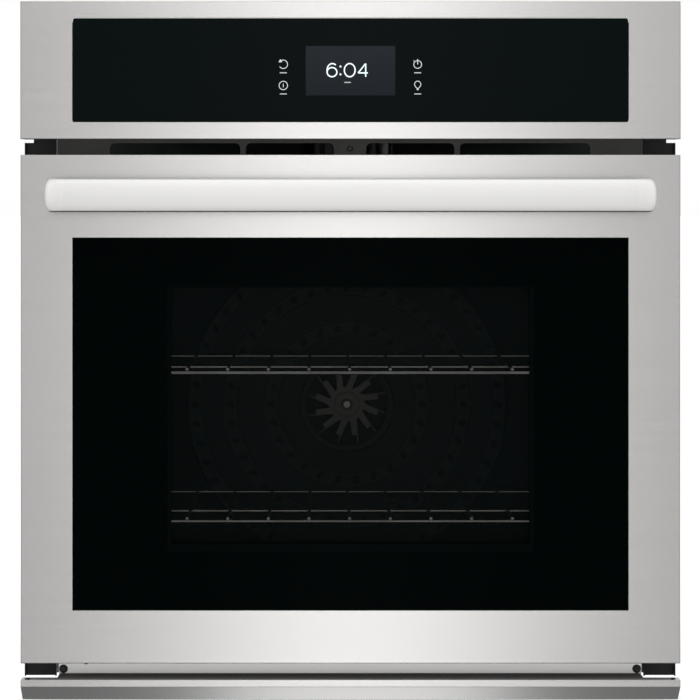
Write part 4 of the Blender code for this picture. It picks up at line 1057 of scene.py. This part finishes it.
PAN_SCREWS = screw_tree()
black_screw = painted("black_screw", (0.010, 0.010, 0.010), 0.40)
plate_low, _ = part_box("vent_plate")
strip_low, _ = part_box("lower_strip")
FRONT = (0.0, -1.0, 0.0)
SCREWS = {
    "vent_screw": ([(0.0, plate_low.y, 0.5520)], 0.0036, 0.0016),
    "strip_screws": ([(x, strip_low.y - 0.0004, 0.0050) for x in (-0.3014, 0.3014)], 0.0046, 0.0022),
    "strip_plug": ([(-0.2775, strip_low.y - 0.0002, 0.0128)], 0.0032, 0.0010),
}
for name, (spots, radius, height) in SCREWS.items():
    places = [(spot, FRONT, 0.0) for spot in spots]
    heads = on_points(name, PAN_SCREWS, places, Radius=radius, Height=height, Material=black_screw)
    joins(heads, "chassis", "black_paint")


# ---- Door gasket ----
# A braided glass-fibre tube round the cavity mouth, clipped to the front frame: three strands a
# side wind round each other, and the braid flattens where the door presses on it.

BRAID_TURNS = 1900.0


def braid_finish():
    finish = Finish("gasket_braid", (0.10, 0.10, 0.095), Roughness=0.85)
    x, y, z = finish.axes()
    one = ((x + z) * BRAID_TURNS + y * 900.0).maths("SINE")
    two = ((x - z) * BRAID_TURNS - y * 900.0).maths("SINE")
    weave = one * two * 0.5 + 0.5
    tone = finish.blend(weave, (0.05, 0.05, 0.048), (0.19, 0.185, 0.175))
    return finish.set(Base_Color=tone, Normal=finish.bump(weave, 0.6, 0.0005))


dressed("door_gasket", braid_finish(), "braid", 0.0016, 4)


# ---- Door top and inner parts of the door ----
# The door's top is closed by a moulded cap with slots that let its cooling air out. Inside, a
# blanket of glass wool lies round the window, behind a sheet-steel sleeve.


def galvanised():
    """Zinc-dipped sheet with fine spangles; in front of y = 10 mm it is coloured black and dull as a
    painted shade, for the dark edges seen in the gaps at the front.
    """
    colour = (0.50, 0.50, 0.49)
    finish = Finish("galvanised_steel", colour, Metallic=1.0, Roughness=0.40)
    cell = finish.node("TexVoronoi", {}, {"Vector": finish.coords, "Scale": 210.0}, "Color")
    tone = finish.node("SeparateXYZ", {}, {"Vector": cell}, "X")
    mask = tone * 0.5 + finish.grain(9.0, detail=4.0) * 0.5
    # Painted shade: black and dull in front of y = 10 mm.
    front_edge_shade = 1 - finish.axes("Y")[0].step(0.0100, 0.0104)
    spangle = finish.blend(mask, *shades(colour, 0.90, 1.10))
    return finish.set(
        Base_Color=finish.blend(front_edge_shade, spangle, (0.012, 0.012, 0.012)),
        Metallic=1 - front_edge_shade,
        Roughness=mask * 0.10 + 0.34,
    )


def moulded(name, colour):
    """Black plastic with the fine grit of its mould."""
    finish = Finish(name, colour, Roughness=0.5)
    grit = finish.grain(500.0, detail=2.0)
    return finish.set(Roughness=grit * 0.2 + 0.42, Normal=finish.bump(grit, 0.15, 0.0002))


zinc = galvanised()
dressed("door_top_cap", moulded("cap_plastic", (0.014, 0.014, 0.014)), "black_plastic")


def wool_finish():
    colour = (0.52, 0.48, 0.38)
    finish = Finish("glass_wool", colour, Roughness=0.95, Specular_IOR_Level=0.2)
    strands = finish.grain(170.0, (1.0, 0.35, 1.6), 5.0)
    mask = strands * 0.6 + finish.grain(22.0) * 0.4
    return finish.set(
        Base_Color=finish.blend(mask.step(0.35, 0.65), *shades(colour, 0.72, 1.22)),
        Normal=finish.bump(strands, 0.5, 0.0015),
    )


WOOL_VOXEL = 0.0075
WOOL_SHRINK = 0.0016


def wool_blanket(node, material):
    """A felted blanket in the space of its solid: softened corners and a lumpy face, all inside."""
    piece = as_piece(f"{node}_felt", solid_copy(node), material, 180)
    remesh = piece.modifiers.new("felt", "REMESH")
    remesh.mode = "VOXEL"
    remesh.voxel_size = WOOL_VOXEL
    soften = piece.modifiers.new("soften", "SMOOTH")
    soften.factor = 0.5
    soften.iterations = 3
    baked(piece)
    bm = bmesh.new()
    bm.from_mesh(piece.data)
    bm.normal_update()
    for vert in bm.verts:
        lump = noise.noise(vert.co * 38.0) + 0.6 * noise.noise(vert.co * 95.0)
        vert.co -= vert.normal * (WOOL_SHRINK * (0.6 + 0.5 * lump))
    bm.to_mesh(piece.data)
    bm.free()
    piece.data.materials.clear()
    piece.data.materials.append(material)
    piece.data.shade_smooth()
    joins(piece, body_of_node(node), "wool", node)


pale_wool = wool_finish()
wool_blanket("door_insulation", pale_wool)

SLEEVE_WALL = 0.0010
SLEEVE_GAP = 0.0014
SLEEVE_Y = (-0.0495, -0.0168)


def make_window_sleeve():
    """A bent sheet-steel sleeve between the blanket and the inner sheets of glass."""
    low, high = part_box("door_middle_glass")
    bm = bmesh.new()
    rings = []
    for y in SLEEVE_Y:
        for gap in (SLEEVE_GAP, SLEEVE_GAP + SLEEVE_WALL):
            x, z0, z1 = high.x + gap, low.z - gap, high.z + gap
            corners = ((-x, y, z0), (x, y, z0), (x, y, z1), (-x, y, z1))
            rings.append([bm.verts.new(c) for c in corners])
    for ring_a, ring_b in ((0, 1), (1, 3), (3, 2), (2, 0)):
        wall_between(bm, rings[ring_a], rings[ring_b])
    bmesh.ops.recalc_face_normals(bm, faces=bm.faces)
    # Its near-black colour is painted shade, for the dark inside the door round the window.
    sleeve = as_piece("window_sleeve", bm, painted("sleeve_paint", (0.010, 0.010, 0.011)))
    joins(sleeve, "door", "black_paint")


make_window_sleeve()


# ---- Hinges ----
# Each hinge is a folded steel channel in the door. A pull rod runs down through a strong coil
# spring to the arm that hooks into the chassis, and a small lock flips to take the door off.

hinge_steel = bare_metal("hinge_steel", (0.46, 0.45, 0.43), 0.36)
spring_steel = bare_metal("spring_steel", (0.16, 0.155, 0.15), 0.34)


def coil_tree():
    """A wire wound round the Z axis through a point."""
    sizes = {"Radius": 0.004, "Wire_Radius": 0.0006, "Turns": 20.0, "Height": 0.1, "Place": (0.0,) * 3}
    tree, given = new_tree("coil_spring", **sizes)
    winding = {"Start Radius": given["Radius"], "End Radius": given["Radius"]}
    winding |= {"Resolution": 18, "Rotations": given["Turns"], "Height": given["Height"]}
    spiral = tree_node(tree, "CurveSpiral", winding)
    circle = {"Resolution": 8, "Radius": given["Wire Radius"]}
    ring = tree_node(tree, "CurvePrimitiveCircle", circle)
    along = {"Curve": spiral, "Profile Curve": ring, "Fill Caps": True}
    sweep = tree_node(tree, "CurveToMesh", along)
    moved = {"Geometry": sweep, "Translation": given["Place"]}
    return ended(tree, given, tree_node(tree, "Transform", moved))


COIL = coil_tree()
COIL_WIRE_R = 0.0010
COIL_TURNS = 25.0
HINGE_PARTS = {"channel": (zinc, 0.0003), "rod": (hinge_steel, 0.0002), "lock": (hinge_steel, 0.0003)}
HINGE_PARTS |= {"arm": (hinge_steel, 0.0004), "receiver": (zinc, 0.0003)}

for side in ("left", "right"):
    for part, (metal, edge) in HINGE_PARTS.items():
        dressed(f"hinge_{part}_{side}", metal, "zinc_steel", edge)
    low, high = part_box(f"hinge_spring_{side}")
    middle = (low + high) / 2
    coil = {"Radius": (high.x - low.x) / 2 - COIL_WIRE_R, "Wire_Radius": COIL_WIRE_R}
    coil |= {"Turns": COIL_TURNS, "Height": high.z - low.z - 2 * COIL_WIRE_R}
    coil |= {"Place": (middle.x, middle.y, low.z + COIL_WIRE_R), "Material": spring_steel}
    spring = on_points(f"hinge_coil_{side}", COIL, [((0.0, 0.0, 0.0), FRONT, 0.0)], **coil)
    joins(spring, "door", "zinc_steel", f"hinge_spring_{side}")
    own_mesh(spring)


# ---- Chassis ----
# Galvanised sheet panels with louvres, a blanket of glass wool round the cavity, and the clamp
# where the supply conduit comes in at the back.

for node in ("base_pan", "side_panel_left", "side_panel_right", "back_panel", "top_cover"):
    dressed(node, zinc, "zinc_steel", 0.0002, 1)
dressed("conduit_clamp", bare_metal("cast_zinc", (0.44, 0.44, 0.45), 0.45), "zinc_steel", 0.0005)
wool_blanket("insulation_wrap", pale_wool)
wool_blanket("insulation_back", pale_wool)


# ---- Cooling blower, latch and electrics ----
# The blower draws air over the boards and blows it out under the control panel; a small geared
# motor swings the hook that keeps the door shut while the oven cleans itself.

# The duct's near black is painted shade, for the dark seen through the vent slots.
duct_black = painted("duct_black", (0.050, 0.056, 0.056), 0.6)
blower_steel = bare_metal("blower_motor_steel", (0.40, 0.40, 0.41))
blower_wheel_metal = bare_metal("blower_wheel_metal", (0.46, 0.46, 0.45), 0.36)
latch_steel = bare_metal("latch_motor_steel", (0.42, 0.42, 0.41), 0.42)
dressed("air_duct", duct_black, "zinc_steel", 0)
dressed("blower_housing", zinc, "zinc_steel", 0.0004)
dressed("blower_motor", blower_steel, "zinc_steel", 0.0006)
dressed("blower_wheel", blower_wheel_metal, "zinc_steel", 0)
dressed("latch_motor", latch_steel, "zinc_steel", 0.0005)
dressed("latch_hook", hinge_steel, "zinc_steel")

LACQUER, COPPER = (0.010, 0.070, 0.035), (0.09, 0.17, 0.09)
TRACKS = 1500.0


def board_finish():
    """Green lacquer over copper tracks, with bare pads."""
    finish = Finish("circuit_board", LACQUER, Roughness=0.35)
    x, y, z = finish.axes()
    lanes = ((x * TRACKS).maths("SINE") + ((y + z) * TRACKS).maths("SINE")) * 0.5
    tracks = lanes.step(0.45, 0.55)
    pads = finish.grain(190.0, detail=0.0).step(0.60, 0.64)
    return finish.set(
        Base_Color=finish.blend(tracks * (1 - pads) + pads, LACQUER, COPPER),
        Roughness=tracks * 0.15 + 0.30,
    )


board = board_finish()
dressed("touch_board", board, "circuit", 0.0002)
dressed("power_board", board, "circuit", 0.0002)
dressed("display_module", moulded("display_case", (0.012, 0.012, 0.013)), "screen", 0.0005)


# ---- Floor ----
# A pale matt floor just under the lowest part, and a low plinth that stands for the cabinet shelf
# under the chassis. Neither shows in the steel or throws a shadow on it.


def stage_slab(name, low, high):
    bm = bmesh.new()
    bmesh.ops.create_cube(bm, size=1.0)
    middle = (Vector(low) + Vector(high)) / 2
    bm.transform(Matrix.Translation(middle) @ Matrix.Diagonal((*(Vector(high) - Vector(low)), 1.0)))
    matt = {"Roughness": 0.9, "Specular_IOR_Level": 0.1}
    matt |= {"Emission_Color": (1.0, 1.0, 1.0, 1.0), "Emission_Strength": 0.35}
    slab = as_piece(name, bm, Finish("pale_floor", (0.90, 0.90, 0.90), **matt).material)
    slab.visible_glossy = False
    slab.visible_shadow = False


FLOOR_Z = cad_box[0][2] - 0.0005
stage_slab("floor", (-60.0, -60.0, FLOOR_Z - 0.02), (60.0, 60.0, FLOOR_Z))
stage_slab("shelf_plinth", (-0.300, 0.010, FLOOR_Z), (0.300, 0.555, -0.0004))
